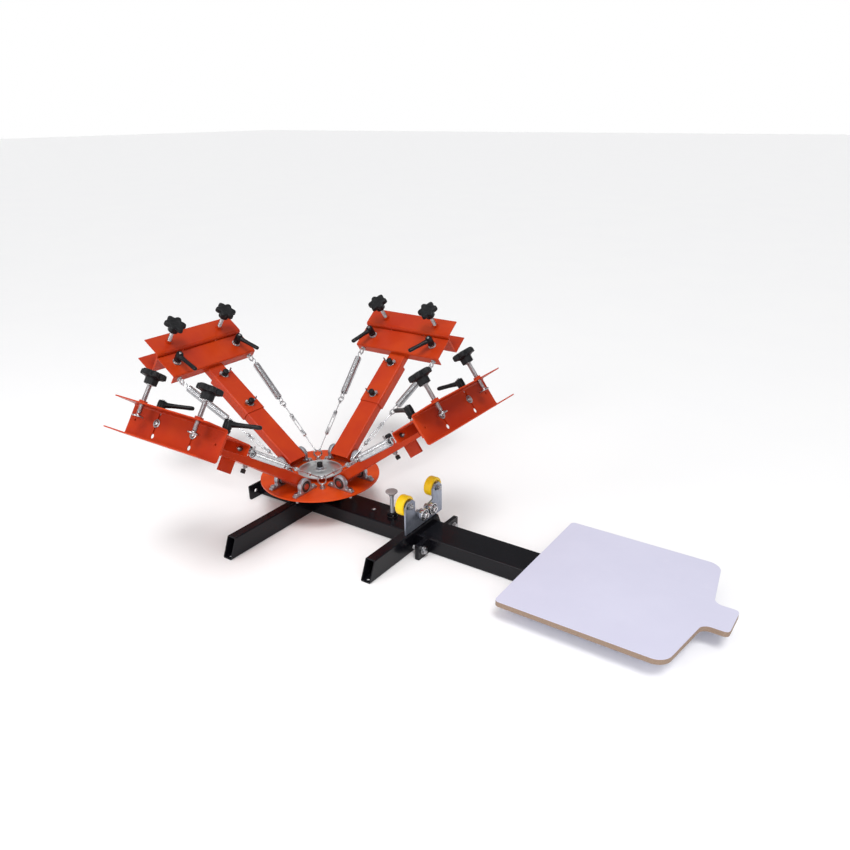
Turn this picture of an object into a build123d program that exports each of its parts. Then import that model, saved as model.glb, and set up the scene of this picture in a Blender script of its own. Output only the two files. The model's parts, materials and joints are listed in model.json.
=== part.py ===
"""Tabletop screen printing carousel: four sprung print arms on a turntable, one pallet, one gate.

Millimetres. The origin is on the floor under the turntable's axis, +X runs along the beam to the pallet,
+Y is the side away from the two long feet and +Z is up. Arm 1 points along +X and arms 2, 3 and 4 follow
it anticlockwise, a quarter turn apart.
"""
from build123d import *
from math import atan2, cos, hypot, radians, sin
import os

# ---------------------------------------------------------------- driving dimensions

# base
BEAM_W = 100
BEAM_H = 46
BEAM_WALL = 3
BEAM_CORNER = 4
BEAM_LEFT = -219
BEAM_RIGHT = 421
END_FLANGE_T = 6
END_FLANGE_HALF = 95
END_FLANGE_BOLT_Y = 70
END_FLANGE_CORNER = 3
JOINT_FLANGE_HALF = 101
JOINT_BOLT_Y = 78
M12_R = 6
M12_PLAY = 0.5
M12_HEAD = (19, 7.5)
M12_NUT = (19, 10)
M12_WASHER = (12, 2.5)
JOINT_BOLT_TIP = 10
LEG_W = 31
LEG_H = 59
LEG_WALL = 3
LEG_CORNER = 3.5
LEG_FAR_Y = 60
LEG_SLANT = 26
FRONT_LEG_X = 376
FRONT_LEG_NEAR_Y = -238
REAR_LEG_X = -16
REAR_LEG_NEAR_Y = -355
BENCH_HOLE_R = 4.5
M8_R = 4
HOLE_PLAY = 0.5

# pallet and its arm
PALLET_ARM_END = 1130
PALLET_T = 15
PALLET_LEFT = 737
PALLET_SHOULDER = 1156
PALLET_RIGHT = 1237
PALLET_HALF = 225
PALLET_NECK_HALF = 48
PALLET_CORNER_R = 12
PALLET_SHOULDER_R = 38
PALLET_NECK_FILLET = 22

# turntable
DISC_R = 180
DISC_T = 5
DISC_TOP = 111
PEDESTAL_R = 55
SPIGOT_R = 20
HUB_R = 68
HUB_PLATE_Z = 124
HUB_PLATE_T = 4
CAP_R = 9
CAP_TOP = 150
POST_RADIUS = 100
POST_RING_R = 12
POST_WIRE_R = 2.6
POST_RING_Z = 136

# arm hinge
PIVOT_U = 120
PIVOT_Z = 132
ARM_TILT = 37
SHAFT_R = 8.5
SHAFT_PLAY = 0.05
BLOCK_V = 46.4
BLOCK_T = 13
BLOCK_R = 23
BLOCK_BOLT_GAP = 70
BLOCK_FOOT_T = 7

# arm, in its own frame: s along the arm from the hinge, v across it, e square to both and up
TUBE_HALF = 35
TUBE_LOW = -4
TUBE_TOP = 26
TUBE_WALL = 2.5
TUBE_CORNER = 4
TUBE_INNER_END = -22
SLEEVE_START = 187
SLEEVE_END = 350
SLEEVE_WALL = 3
SLEEVE_CORNER = 6
WING_S = (216, 342)
TONGUE_S = (250, 296)
TONGUE_LOW = -41
TONGUE_T = 7
STOP_S = 207
STOP_TIP = -27
WING_WASHER = (12.5, 2.5)
WING_BOSS = (9.5, 18)
WING_REACH = 22.5
WING_TAB = (3, 5, 20)

# carriage: the sliding neck and the folded bracket behind the screen channel
NECK_HALF = 31.5
NECK_START = 196
NECK_CORNER = 3.5
BRACKET_HALF = 166
BRACKET_S = (385, 466.7)
BRACKET_TOP = 38
BRACKET_SHEET = 3
BRACKET_BEND = 5
LIP_LOW = 8
WEB_FLANGE_LOW = -12
EYE_V = 143
EYE_E = 22
EYE_RING_R = 8.5
EYE_WIRE_R = 2.5
LEVER_S = 432
LEVER_V = 120
LEVER_ARM = 72
LEVER_RISE = 18
LEVER_HUB_H = 36
LEVER_GRIP_R = 7
LEVER_TURNS = ((-26, 0), (-28, -18), (11, -2), (-46, -46))

# screen channel
CHANNEL_S = (467, 532)
CHANNEL_E = (-34, 49)
CHANNEL_SHEET = 3
CHANNEL_BEND = 8
SLOT_V = 66
SLOT_E = (-14, 38)
SLOT_R = 3.6
KEYHOLE_R = 6
SLOT_BOLT_E = 15
CHANNEL_HOLE_V = 145
SCREW_S = 502
SCREW_V = 100
SCREW_R = 6
WELD_NUT_H = 7
KNOB_E = (98, 132)
KNOB_R = 32.5
KNOB_STAR_T = 16
KNOB_HUB_R = 17
KNOB_LOBE_R = 9
FOOT_E = 14
FOOT_R = 14

# springs: extension spring, ring, turnbuckle and hooks between a carriage eye and a turntable post
SPRING_R = 11.5
SPRING_SPAN = (0.035, 0.43)
BUCKLE_SPAN = (0.62, 0.845)
SPRING_WIRE_R = 1.6
SPRING_END_GAP = 2
SPRING_POST_OFF = 7

# registration gate
GATE_X = 380
GATE_T = 5
GATE_HALF = 90
GATE_TOP = 156
GATE_UPRIGHT_IN = 44
GATE_MIDDLE_TOP = 106
GATE_NOTCH = (7, 84)
GATE_FOOT_W = 11
GATE_FOOT_SETBACK = 30
ROLLER_Y = 69
ROLLER_Z = 140
ROLLER_R = 28.5
ROLLER_W = 25
ROLLER_BORE = 8
ROLLER_SLOT = 30
BEARING_Y = 21.5
BEARING_Z = 97
BEARING_R = 17.4
BEARING_W = 11
BEARING_BORE = 7.5
BEARING_SPACER = 7

# rest screw that the lowered arm lands on
REST_X = 271
REST_HEAD_R = 17.5
REST_HEAD_T = 14
REST_RIM_T = 5
REST_R = 6
REST_TOP = PIVOT_Z + TUBE_LOW - 0.4
LOCK_SCREW_X = 203


# ---------------------------------------------------------------- small shape helpers

def block(x, y, z):
    """A box between two ends on each axis."""
    size = (x[1] - x[0], y[1] - y[0], z[1] - z[0])
    middle = ((x[0] + x[1]) / 2, (y[0] + y[1]) / 2, (z[0] + z[1]) / 2)
    return Location(middle) * Box(*size)


def rod(start, axis, radius, length):
    """A solid cylinder from a start point along an axis."""
    plane = Plane(origin=start, z_dir=axis)
    return plane * Cylinder(radius, length, align=(Align.CENTER, Align.CENTER, Align.MIN))


def ring_block(start, axis, outer, inner, length):
    """A straight-walled ring: a washer, collar, roller or bearing race."""
    return rod(start, axis, outer, length) - rod(start, axis, inner, length)


def hexagon(start, axis, across, length):
    """A hexagonal head or nut, measured across its flats."""
    plane = Plane(origin=start, z_dir=axis)
    return extrude(plane * RegularPolygon(across / 2, 6, major_radius=False), length)


def loop(centre, axis, radius, wire):
    """A closed round ring of wire."""
    return Plane(origin=centre, z_dir=axis) * Torus(radius, wire)


def hollow_tube(x, y, z, wall, corner):
    """A rectangular tube with rounded long edges, open at both ends of its X length."""
    end = Plane(origin=(x[0], sum(y) / 2, sum(z) / 2), x_dir=(0, 1, 0), z_dir=(1, 0, 0))
    width = y[1] - y[0]
    height = z[1] - z[0]
    outline = end * RectangleRounded(width, height, corner)
    outline -= end * RectangleRounded(width - 2 * wall, height - 2 * wall, corner - wall)
    return extrude(outline, x[1] - x[0])


def folded(s, e, half, bend, corners):
    """A solid right across the arm, from its outline in s and e, with some corners rounded."""
    middle = Plane(origin=(sum(s) / 2, 0, sum(e) / 2), x_dir=(1, 0, 0), z_dir=(0, -1, 0))
    outline = middle * Rectangle(s[1] - s[0], e[1] - e[0])
    near = [v for v in outline.vertices() for at in corners if hypot(v.X - at[0], v.Z - at[1]) < 1]
    return extrude(fillet(near, bend), half, both=True)


def save(name, *shapes):
    """Writes one node. It may hold several separate solids."""
    solids = [solid for shape in shapes for solid in shape.solids()]
    export_step(Compound(solids), f"parts/{name}.step")


def on_arm(shape, index):
    """From the arm's own frame to its place on the turntable."""
    tilted = Location((PIVOT_U, 0, PIVOT_Z)) * Rotation(0, -ARM_TILT, 0) * shape
    return Rotation(0, 0, 90 * index) * tilted


def around(shape, index):
    """A quarter-turn copy about the turntable's axis."""
    return Rotation(0, 0, 90 * index) * shape


# ---------------------------------------------------------------- base

def end_flange(x, half, bolt_y):
    """A flat plate across a beam's end, with one bolt hole beyond each side of the beam."""
    plate = block((x, x + END_FLANGE_T), (-half, half), (0, BEAM_H))
    plate = fillet(plate.edges().filter_by(Axis.X), END_FLANGE_CORNER)
    for y in (-bolt_y, bolt_y):
        plate -= rod((x - 1, y, BEAM_H / 2), (1, 0, 0), M12_R + M12_PLAY, END_FLANGE_T + 2)
    return plate


def beam():
    """The main box beam with a flange welded on each end."""
    half = BEAM_W / 2
    body = hollow_tube((BEAM_LEFT, BEAM_RIGHT), (-half, half), (0, BEAM_H), BEAM_WALL, BEAM_CORNER)
    body -= rod((REST_X, 0, BEAM_H - 6), (0, 0, 1), REST_R + HOLE_PLAY, 12)
    body += end_flange(BEAM_LEFT - END_FLANGE_T, END_FLANGE_HALF, END_FLANGE_BOLT_Y)
    body += end_flange(BEAM_RIGHT, JOINT_FLANGE_HALF, JOINT_BOLT_Y)
    return body


def leg(x, near_y):
    """A foot tube that straddles the beam. Its ends slant, so the bottom wall reaches further out."""
    low = near_y - LEG_SLANT
    high = LEG_FAR_Y + LEG_SLANT
    side = Plane.YZ.offset(x - LEG_W / 2)
    outline = side * Polygon((low, 0), (high, 0), (LEG_FAR_Y, LEG_H), (near_y, LEG_H), align=None)
    body = extrude(outline, LEG_W, dir=(1, 0, 0))
    body = fillet(body.edges().filter_by(Axis.Y), LEG_CORNER)
    inner = (x - LEG_W / 2 + LEG_WALL, x + LEG_W / 2 - LEG_WALL)
    body -= block(inner, (low - 1, high + 1), (LEG_WALL, LEG_H - LEG_WALL))
    saddle = BEAM_W / 2 + 0.2
    body -= block((x - LEG_W, x + LEG_W), (-saddle, saddle), (-1, BEAM_H + 0.2))
    for y in (low + LEG_SLANT / 2, high - LEG_SLANT / 2):
        body -= rod((x, y, -1), (0, 0, 1), BENCH_HOLE_R, LEG_WALL + 2)
    return body


def pallet_arm():
    """The bolted-on length of beam that carries the pallet."""
    half = BEAM_W / 2
    start = BEAM_RIGHT + END_FLANGE_T
    along = (start + END_FLANGE_T, PALLET_ARM_END)
    body = hollow_tube(along, (-half, half), (0, BEAM_H), BEAM_WALL, BEAM_CORNER)
    return body + end_flange(start, JOINT_FLANGE_HALF, JOINT_BOLT_Y)


def pallet():
    """The flat printing board, with a rounded shoulder that narrows to a neck."""
    shoulder_inner = PALLET_SHOULDER + 22
    points = [
        (PALLET_LEFT, PALLET_HALF),
        (PALLET_SHOULDER - 6, PALLET_HALF),
        (shoulder_inner, PALLET_NECK_HALF),
        (PALLET_RIGHT, PALLET_NECK_HALF),
    ]
    mirrored = [(x, -y) for x, y in reversed(points)]
    outline = Polygon(*points, *mirrored, align=None)
    radii = (PALLET_CORNER_R, PALLET_SHOULDER_R, PALLET_NECK_FILLET, PALLET_CORNER_R)
    for (x, y), radius in zip(points, radii):
        near = [v for v in outline.vertices() if abs(v.X - x) < 1 and abs(abs(v.Y) - y) < 1]
        outline = fillet(near, radius)
    return extrude(Plane.XY.offset(BEAM_H) * outline, PALLET_T, dir=(0, 0, 1))


def joint_bolt(y):
    """A bolt through the two flanges between beam and pallet arm, its nut on the beam's side."""
    z = BEAM_H / 2
    face = BEAM_RIGHT + 2 * END_FLANGE_T
    washer_r, washer_t = M12_WASHER
    washer = rod((face, y, z), (1, 0, 0), washer_r, washer_t)
    head = hexagon((face + washer_t, y, z), (1, 0, 0), *M12_HEAD)
    nut_face = BEAM_RIGHT - M12_NUT[1]
    nut = hexagon((nut_face, y, z), (1, 0, 0), *M12_NUT)
    tip = nut_face - JOINT_BOLT_TIP
    return washer + head + nut + rod((tip, y, z), (1, 0, 0), M12_R, face + washer_t + 1 - tip)


def rest_screw():
    """The height-setting screw with a broad flat-topped head, standing in the beam's top wall."""
    low = REST_TOP - REST_HEAD_T
    rim = REST_TOP - REST_RIM_T
    head = rod((REST_X, 0, rim), (0, 0, 1), REST_HEAD_R, REST_RIM_T)
    taper = Cone(REST_R + 2, REST_HEAD_R, rim - low, align=(Align.CENTER, Align.CENTER, Align.MIN))
    head += Pos(REST_X, 0, low) * taper
    return head + rod((REST_X, 0, BEAM_H - 18), (0, 0, 1), REST_R, low - BEAM_H + 18.5)


def rest_nut():
    """The clamp nut round the rest screw, on top of the beam."""
    nut = hexagon((REST_X, 0, BEAM_H), (0, 0, 1), 30, 12)
    return nut - rod((REST_X, 0, BEAM_H - 1), (0, 0, 1), REST_R + HOLE_PLAY, 14)


def lock_screw():
    """A small screw on the beam's top wall, short of the rest screw."""
    return rod((LOCK_SCREW_X, 0, BEAM_H), (0, 0, 1), 7, 4)


# ---------------------------------------------------------------- registration gate

def gate_plate():
    """A U-shaped upright on the front leg, with a notch between the two registration bearings."""
    notch_half, notch_low = GATE_NOTCH
    top = GATE_TOP
    points = [
        (notch_half, notch_low),
        (notch_half, GATE_MIDDLE_TOP),
        (GATE_UPRIGHT_IN, GATE_MIDDLE_TOP + 6),
        (GATE_UPRIGHT_IN, top - 12),
        (GATE_UPRIGHT_IN + 12, top),
        (GATE_HALF - 14, top),
        (GATE_HALF, top - 16),
        (GATE_HALF, LEG_H),
    ]
    mirrored = [(-y, z) for y, z in reversed(points)]
    outline = Polygon(*points, *mirrored, align=None)
    body = extrude(Plane.YZ.offset(GATE_X) * outline, GATE_T, dir=(1, 0, 0))
    foot = (GATE_FOOT_SETBACK - GATE_HALF, LEG_FAR_Y)
    body += block((GATE_X - GATE_FOOT_W, GATE_X), foot, (LEG_H, LEG_H + GATE_T))
    for side in (-1, 1):
        slot = Plane(origin=(GATE_X - 1, side * ROLLER_Y, ROLLER_Z), x_dir=(0, 1, 0), z_dir=(1, 0, 0))
        body -= extrude(slot * SlotOverall(ROLLER_SLOT, 2 * (M8_R + HOLE_PLAY)), GATE_T + 2)
        body -= rod((GATE_X - 1, side * BEARING_Y, BEARING_Z), (1, 0, 0), BEARING_BORE + 0.2, GATE_T + 2)
    return body


def roller(side):
    """A guide roller that leads the arm's flank into the gate."""
    start = (GATE_X - 1 - ROLLER_W, side * ROLLER_Y, ROLLER_Z)
    body = ring_block(start, (1, 0, 0), ROLLER_R, ROLLER_BORE + 0.08, ROLLER_W)
    return fillet(body.edges().filter_by(GeomType.CIRCLE).group_by(SortBy.RADIUS)[-1], 3)


def roller_axle(side):
    """The shouldered bolt that a guide roller turns on, clamped in the gate's slot by a nut."""
    y = side * ROLLER_Y
    back = GATE_X - 1 - ROLLER_W
    front = GATE_X + GATE_T
    head = hexagon((back - 7, y, ROLLER_Z), (1, 0, 0), 22, 6)
    shoulder = rod((back - 1.5, y, ROLLER_Z), (1, 0, 0), ROLLER_BORE, GATE_X - back + 1.5)
    shank = rod((GATE_X - 1, y, ROLLER_Z), (1, 0, 0), M8_R, GATE_T + 12)
    washer = rod((front, y, ROLLER_Z), (1, 0, 0), 9, 1.6)
    nut = hexagon((front + 1.5, y, ROLLER_Z), (1, 0, 0), 13, 6.5)
    return head + shoulder + shank + washer + nut


def bearing(side):
    """A ball bearing that touches the tongue's flank."""
    start = (GATE_X + GATE_T + BEARING_SPACER, side * BEARING_Y, BEARING_Z)
    body = ring_block(start, (1, 0, 0), BEARING_R, BEARING_BORE + 0.08, BEARING_W)
    return fillet(body.edges().filter_by(GeomType.CIRCLE).group_by(SortBy.RADIUS)[-1], 0.8)


def bearing_bolt(side):
    """The shouldered bolt, spacer and nut that hold a registration bearing."""
    y = side * BEARING_Y
    front = GATE_X + GATE_T
    out = front + BEARING_SPACER + BEARING_W
    spacer = rod((front, y, BEARING_Z), (1, 0, 0), 10.5, BEARING_SPACER - 0.5)
    shank = rod((GATE_X - 8, y, BEARING_Z), (1, 0, 0), BEARING_BORE, out + 0.6 - GATE_X + 8)
    head = hexagon((out + 0.5, y, BEARING_Z), (1, 0, 0), 19, 7)
    nut = hexagon((GATE_X - 7, y, BEARING_Z), (1, 0, 0), 19, 7)
    return spacer + shank + head + nut


# ---------------------------------------------------------------- turntable

def pedestal():
    """The round bearing housing on the beam, notched over the rear leg."""
    top = DISC_TOP - DISC_T - 1
    body = rod((0, 0, BEAM_H), (0, 0, 1), PEDESTAL_R, top - BEAM_H)
    body += rod((0, 0, LEG_H + 2), (0, 0, 1), PEDESTAL_R + 14, 8)
    half = LEG_W / 2 + 0.2
    body -= block((REAR_LEG_X - half, REAR_LEG_X + half), (-80, 80), (BEAM_H - 1, LEG_H + 0.2))
    return body - rod((0, 0, LEG_H + 10), (0, 0, 1), SPIGOT_R + SHAFT_PLAY, top)


def block_feet():
    """The two bolt places of each pillow block, for one arm, in the turntable's own axes."""
    for side in (-1, 1):
        for end in (-1, 1):
            yield PIVOT_U + end * BLOCK_BOLT_GAP / 2, side * BLOCK_V


def disc():
    """The painted turntable plate, with its spigot in the pedestal."""
    low = DISC_TOP - DISC_T
    body = rod((0, 0, low), (0, 0, 1), DISC_R, DISC_T)
    body += rod((0, 0, LEG_H + 14), (0, 0, 1), SPIGOT_R, low - LEG_H - 13)
    for index in range(4):
        for u, v in block_feet():
            body -= around(rod((u, v, low - 1), (0, 0, 1), M8_R + 0.3, DISC_T + 2), index)
        post = POST_RADIUS / 2 ** 0.5
        body -= around(rod((post, post, low - 1), (0, 0, 1), M8_R + 0.3, DISC_T + 2), index)
    return body


def hub():
    """The bright hub under the centre bolt: a short column and a broad cover plate."""
    body = rod((0, 0, DISC_TOP), (0, 0, 1), 30, HUB_PLATE_Z - DISC_TOP)
    return body + rod((0, 0, HUB_PLATE_Z), (0, 0, 1), HUB_R, HUB_PLATE_T)


def hub_cap():
    """The centre bolt's collar and its tall cap."""
    base = HUB_PLATE_Z + HUB_PLATE_T
    body = rod((0, 0, base), (0, 0, 1), CAP_R + 2, 7)
    return body + rod((0, 0, base + 7), (0, 0, 1), CAP_R, CAP_TOP - base - 7)


def pillow_block(side):
    """One pillow block for the hinge shaft: an upright ring on a foot with two bolt holes."""
    middle = (PIVOT_U, side * BLOCK_V - BLOCK_T / 2, PIVOT_Z)
    body = rod(middle, (0, 1, 0), BLOCK_R, BLOCK_T)
    reach = BLOCK_BOLT_GAP / 2 + 11
    width = (side * BLOCK_V - BLOCK_T / 2, side * BLOCK_V + BLOCK_T / 2)
    body += block((PIVOT_U - reach, PIVOT_U + reach), width, (DISC_TOP, DISC_TOP + BLOCK_FOOT_T))
    body += block((PIVOT_U - 21, PIVOT_U + 21), width, (DISC_TOP, DISC_TOP + 16))
    body &= block((0, 2 * PIVOT_U), width, (DISC_TOP, PIVOT_Z + BLOCK_R))
    for end in (-1, 1):
        x = PIVOT_U + end * BLOCK_BOLT_GAP / 2
        body -= rod((x, side * BLOCK_V, DISC_TOP - 1), (0, 0, 1), M8_R + 0.3, BLOCK_FOOT_T + 2)
    start = (PIVOT_U, side * BLOCK_V - BLOCK_T, PIVOT_Z)
    return body - rod(start, (0, 1, 0), SHAFT_R + SHAFT_PLAY, 2 * BLOCK_T)


def block_bolt(u, v):
    """A bolt down through a pillow block's foot, with its nut under the disc."""
    foot_top = DISC_TOP + BLOCK_FOOT_T
    under = DISC_TOP - DISC_T
    head = hexagon((u, v, foot_top), (0, 0, 1), 13, 5.5)
    shank = rod((u, v, under - 14), (0, 0, 1), M8_R, foot_top - under + 14.5)
    nut = hexagon((u, v, under - 6.5), (0, 0, 1), 13, 6.5)
    return head + shank + nut


def spring_post():
    """An eye bolt that stands in the disc between two arms. The springs hook into its eye."""
    at = POST_RADIUS / 2 ** 0.5
    outward = (1, 1, 0)
    eye = loop((at, at, POST_RING_Z), outward, POST_RING_R, POST_WIRE_R)
    stem_top = POST_RING_Z - POST_RING_R
    stem = rod((at, at, DISC_TOP - DISC_T - 12), (0, 0, 1), M8_R, stem_top - DISC_TOP + DISC_T + 12)
    collar = hexagon((at, at, DISC_TOP), (0, 0, 1), 13, 6)
    nut = hexagon((at, at, DISC_TOP - DISC_T - 6.5), (0, 0, 1), 13, 6.5)
    return eye + stem + collar + nut


# ---------------------------------------------------------------- arm

def arm_tube():
    """The arm: a box tube, a saddle sleeve round its outer half and the registration tongue."""
    s = (TUBE_INNER_END, SLEEVE_END)
    height = (TUBE_LOW, TUBE_TOP)
    body = hollow_tube(s, (-TUBE_HALF, TUBE_HALF), height, TUBE_WALL, TUBE_CORNER)
    body += saddle_sleeve()
    body += block(TONGUE_S, (-TONGUE_T / 2, TONGUE_T / 2), (TONGUE_LOW, TUBE_LOW))
    body -= rod((0, -TUBE_HALF - 1, 0), (0, 1, 0), SHAFT_R + SHAFT_PLAY, 2 * TUBE_HALF + 2)
    for s_at in WING_S:
        body -= rod((s_at, 0, TUBE_TOP - TUBE_WALL - 1), (0, 0, 1), M8_R + HOLE_PLAY, 10)
    return body - rod((STOP_S, 0, TUBE_LOW - 1), (0, 0, 1), M8_R + HOLE_PLAY, TUBE_WALL + 2)


def saddle_sleeve():
    """The second sheet that wraps the top and both flanks of the arm's outer half."""
    half = TUBE_HALF + SLEEVE_WALL
    top = TUBE_TOP + SLEEVE_WALL
    along = (SLEEVE_START, SLEEVE_END)
    end = Plane(origin=(along[0], 0, 0), x_dir=(0, 1, 0), z_dir=(1, 0, 0))
    depth = top - TUBE_LOW
    outline = end * Pos(0, top - depth) * RectangleRounded(2 * half, 2 * depth, SLEEVE_CORNER)
    tube = RectangleRounded(2 * TUBE_HALF, TUBE_TOP - TUBE_LOW, TUBE_CORNER)
    outline -= end * Pos(0, (TUBE_LOW + TUBE_TOP) / 2) * tube
    body = extrude(outline, along[1] - along[0])
    return body & block(along, (-half, half), (TUBE_LOW, top))


def hinge_shaft():
    """The hinge shaft with a spacer collar each side of the tube."""
    reach = BLOCK_V + BLOCK_T / 2 + 3
    body = rod((0, -reach, 0), (0, 1, 0), SHAFT_R, 2 * reach)
    inner = TUBE_HALF + 0.1
    outer = BLOCK_V - BLOCK_T / 2 - 0.3
    for side in (-1, 1):
        start = inner if side > 0 else -outer
        body += rod((0, start, 0), (0, 1, 0), 12, outer - inner)
    return body


def stop_bolt():
    """The off-contact stop under the tube: a bolt with two nuts and a soft tip."""
    shank = rod((STOP_S, 0, TUBE_LOW - 12), (0, 0, 1), M8_R, 12 + TUBE_WALL + 6)
    for low in (TUBE_LOW - 5, TUBE_LOW + TUBE_WALL):
        shank += hexagon((STOP_S, 0, low), (0, 0, 1), 13, 5)
    return shank + rod((STOP_S, 0, STOP_TIP), (0, 0, 1), 6.5, TUBE_LOW - 11.9 - STOP_TIP)


def wing_screw(s):
    """A capped stud with two upright wings that grips the sliding neck from above."""
    top = TUBE_TOP + SLEEVE_WALL
    neck_top = TUBE_TOP - TUBE_WALL - 0.4
    washer_r, washer_t = WING_WASHER
    boss_r, boss_h = WING_BOSS
    thick, width, height = WING_TAB
    seat = top + washer_t
    stud = rod((s, 0, neck_top + 0.1), (0, 0, 1), M8_R, seat + 1 - neck_top)
    body = stud + rod((s, 0, top), (0, 0, 1), washer_r, washer_t)
    body += rod((s, 0, seat), (0, 0, 1), boss_r, boss_h)
    body += block((s, s + width), (-WING_REACH, WING_REACH), (seat + 1, seat + 5))
    for v in (-WING_REACH, WING_REACH - thick):
        body += block((s, s + width), (v, v + thick), (seat + 1, seat + height))
    return body


def carriage():
    """The neck that slides in the arm, welded to the folded bracket behind the screen channel."""
    inner, outer = BRACKET_S
    sheet = BRACKET_SHEET
    play = 0.4
    low = TUBE_LOW + TUBE_WALL + play
    high = TUBE_TOP - TUBE_WALL - play
    across = (-BRACKET_HALF - 1, BRACKET_HALF + 1)
    bends = ((inner, BRACKET_TOP), (outer, BRACKET_TOP))
    body = folded(BRACKET_S, (WEB_FLANGE_LOW, BRACKET_TOP), BRACKET_HALF, BRACKET_BEND, bends)
    hollow = (inner + sheet, outer - sheet)
    roof = BRACKET_TOP - sheet
    bends = ((hollow[0], roof), (hollow[1], roof))
    floor = WEB_FLANGE_LOW - 1
    body -= folded(hollow, (floor, roof), BRACKET_HALF + 1, BRACKET_BEND - sheet, bends)
    body -= block((inner - 1, inner + sheet + 1), across, (floor, LIP_LOW))
    body -= block((inner - 1, inner + sheet + 1), (-NECK_HALF, NECK_HALF), (LIP_LOW - 1, high))
    along = (NECK_START, outer)
    body += hollow_tube(along, (-NECK_HALF, NECK_HALF), (low, high), TUBE_WALL, NECK_CORNER)
    for side in (-1, 1):
        body -= rod((inner - 1, side * EYE_V, EYE_E), (1, 0, 0), M8_R - 0.5, sheet + 2)
        body -= rod((outer - sheet - 1, side * SLOT_V, SLOT_BOLT_E), (1, 0, 0), 3.5, sheet + 2)
        stud_hole = (LEVER_S, side * LEVER_V, BRACKET_TOP - sheet - 1)
        body -= rod(stud_hole, (0, 0, 1), M8_R + HOLE_PLAY, sheet + 2)
    return body - stop_clearance()


def stop_clearance():
    """Room in the neck's underside for the stop bolt's inner nut, over the carriage's travel."""
    return block((NECK_START - 1, STOP_S + 18), (-10, 10), (TUBE_LOW, TUBE_TOP - 8))


def carriage_eye(side):
    """The eye bolt in the bracket's lip that a spring hooks into, and its nut."""
    inner = BRACKET_S[0]
    v = side * EYE_V
    ring_s = inner - 5 - EYE_RING_R
    eye = loop((ring_s, v, EYE_E), (0, 1, 0), EYE_RING_R, EYE_WIRE_R)
    stem = rod((ring_s + EYE_RING_R, v, EYE_E), (1, 0, 0), 3, inner + 12 - ring_s - EYE_RING_R)
    nut = hexagon((inner + BRACKET_SHEET, v, EYE_E), (1, 0, 0), 11, 6)
    washer = rod((inner - 1.5, v, EYE_E), (1, 0, 0), 7, 1.5)
    return eye + stem + nut + washer


def slot_bolt(side):
    """A round-headed bolt through the screen channel's slot, with a washer and a nut behind."""
    v = side * SLOT_V
    face = CHANNEL_S[0] + CHANNEL_SHEET + 0.1
    back = BRACKET_S[1] - BRACKET_SHEET
    washer = rod((face, v, SLOT_BOLT_E), (1, 0, 0), 11, 1.6)
    head = rod((face + 1.5, v, SLOT_BOLT_E), (1, 0, 0), 7.5, 4)
    shank = rod((back - 8, v, SLOT_BOLT_E), (1, 0, 0), 3.2, face - back + 9)
    nut = hexagon((back - 5.5, v, SLOT_BOLT_E), (1, 0, 0), 11, 5.5)
    return washer + head + shank + nut


def screen_channel():
    """The C-shaped channel that takes the screen frame, with keyhole slots and welded nuts."""
    near, far = CHANNEL_S
    low, high = CHANNEL_E
    sheet = CHANNEL_SHEET
    bends = ((near, low), (near, high))
    body = folded(CHANNEL_S, CHANNEL_E, BRACKET_HALF, CHANNEL_BEND, bends)
    within = (low + sheet, high - sheet)
    bends = ((near + sheet, within[0]), (near + sheet, within[1]))
    body -= folded((near + sheet, far + 1), within, BRACKET_HALF + 1, CHANNEL_BEND - sheet, bends)
    slot_low, slot_high = SLOT_E
    for side in (-1, 1):
        v = side * SLOT_V
        slot = block((near - 1, near + sheet + 1), (v - SLOT_R, v + SLOT_R), (slot_low, slot_high))
        body -= slot + rod((near - 1, v, slot_high), (1, 0, 0), SLOT_R, sheet + 2)
        body -= rod((near - 1, v, slot_low - 4), (1, 0, 0), KEYHOLE_R, sheet + 2)
        body -= rod((near - 1, side * CHANNEL_HOLE_V, 8), (1, 0, 0), 3, sheet + 2)
        body += hexagon((SCREW_S, side * SCREW_V, high), (0, 0, 1), 19, WELD_NUT_H)
        bore = (SCREW_S, side * SCREW_V, high - sheet - 1)
        body -= rod(bore, (0, 0, 1), SCREW_R + 0.06, sheet + WELD_NUT_H + 2)
    return body


def clamp_screw(side):
    """A star knob on its spindle, with the round foot that presses on the screen frame."""
    v = side * SCREW_V
    knob_low, knob_top = KNOB_E
    spindle = rod((SCREW_S, v, FOOT_E + 4), (0, 0, 1), SCREW_R, knob_low + 10 - FOOT_E - 4)
    foot = rod((SCREW_S, v, FOOT_E), (0, 0, 1), FOOT_R, 5)
    star_low = knob_top - KNOB_STAR_T
    stem = rod((SCREW_S, v, knob_low), (0, 0, 1), KNOB_HUB_R, star_low + 1 - knob_low)
    star = rod((SCREW_S, v, star_low), (0, 0, 1), KNOB_R - 7, KNOB_STAR_T)
    reach = KNOB_R - KNOB_LOBE_R
    for lobe in range(6):
        angle = radians(60 * lobe)
        at = (SCREW_S + reach * cos(angle), v + reach * sin(angle), star_low)
        star += rod(at, (0, 0, 1), KNOB_LOBE_R, KNOB_STAR_T)
    return spindle + foot + stem + star


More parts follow.
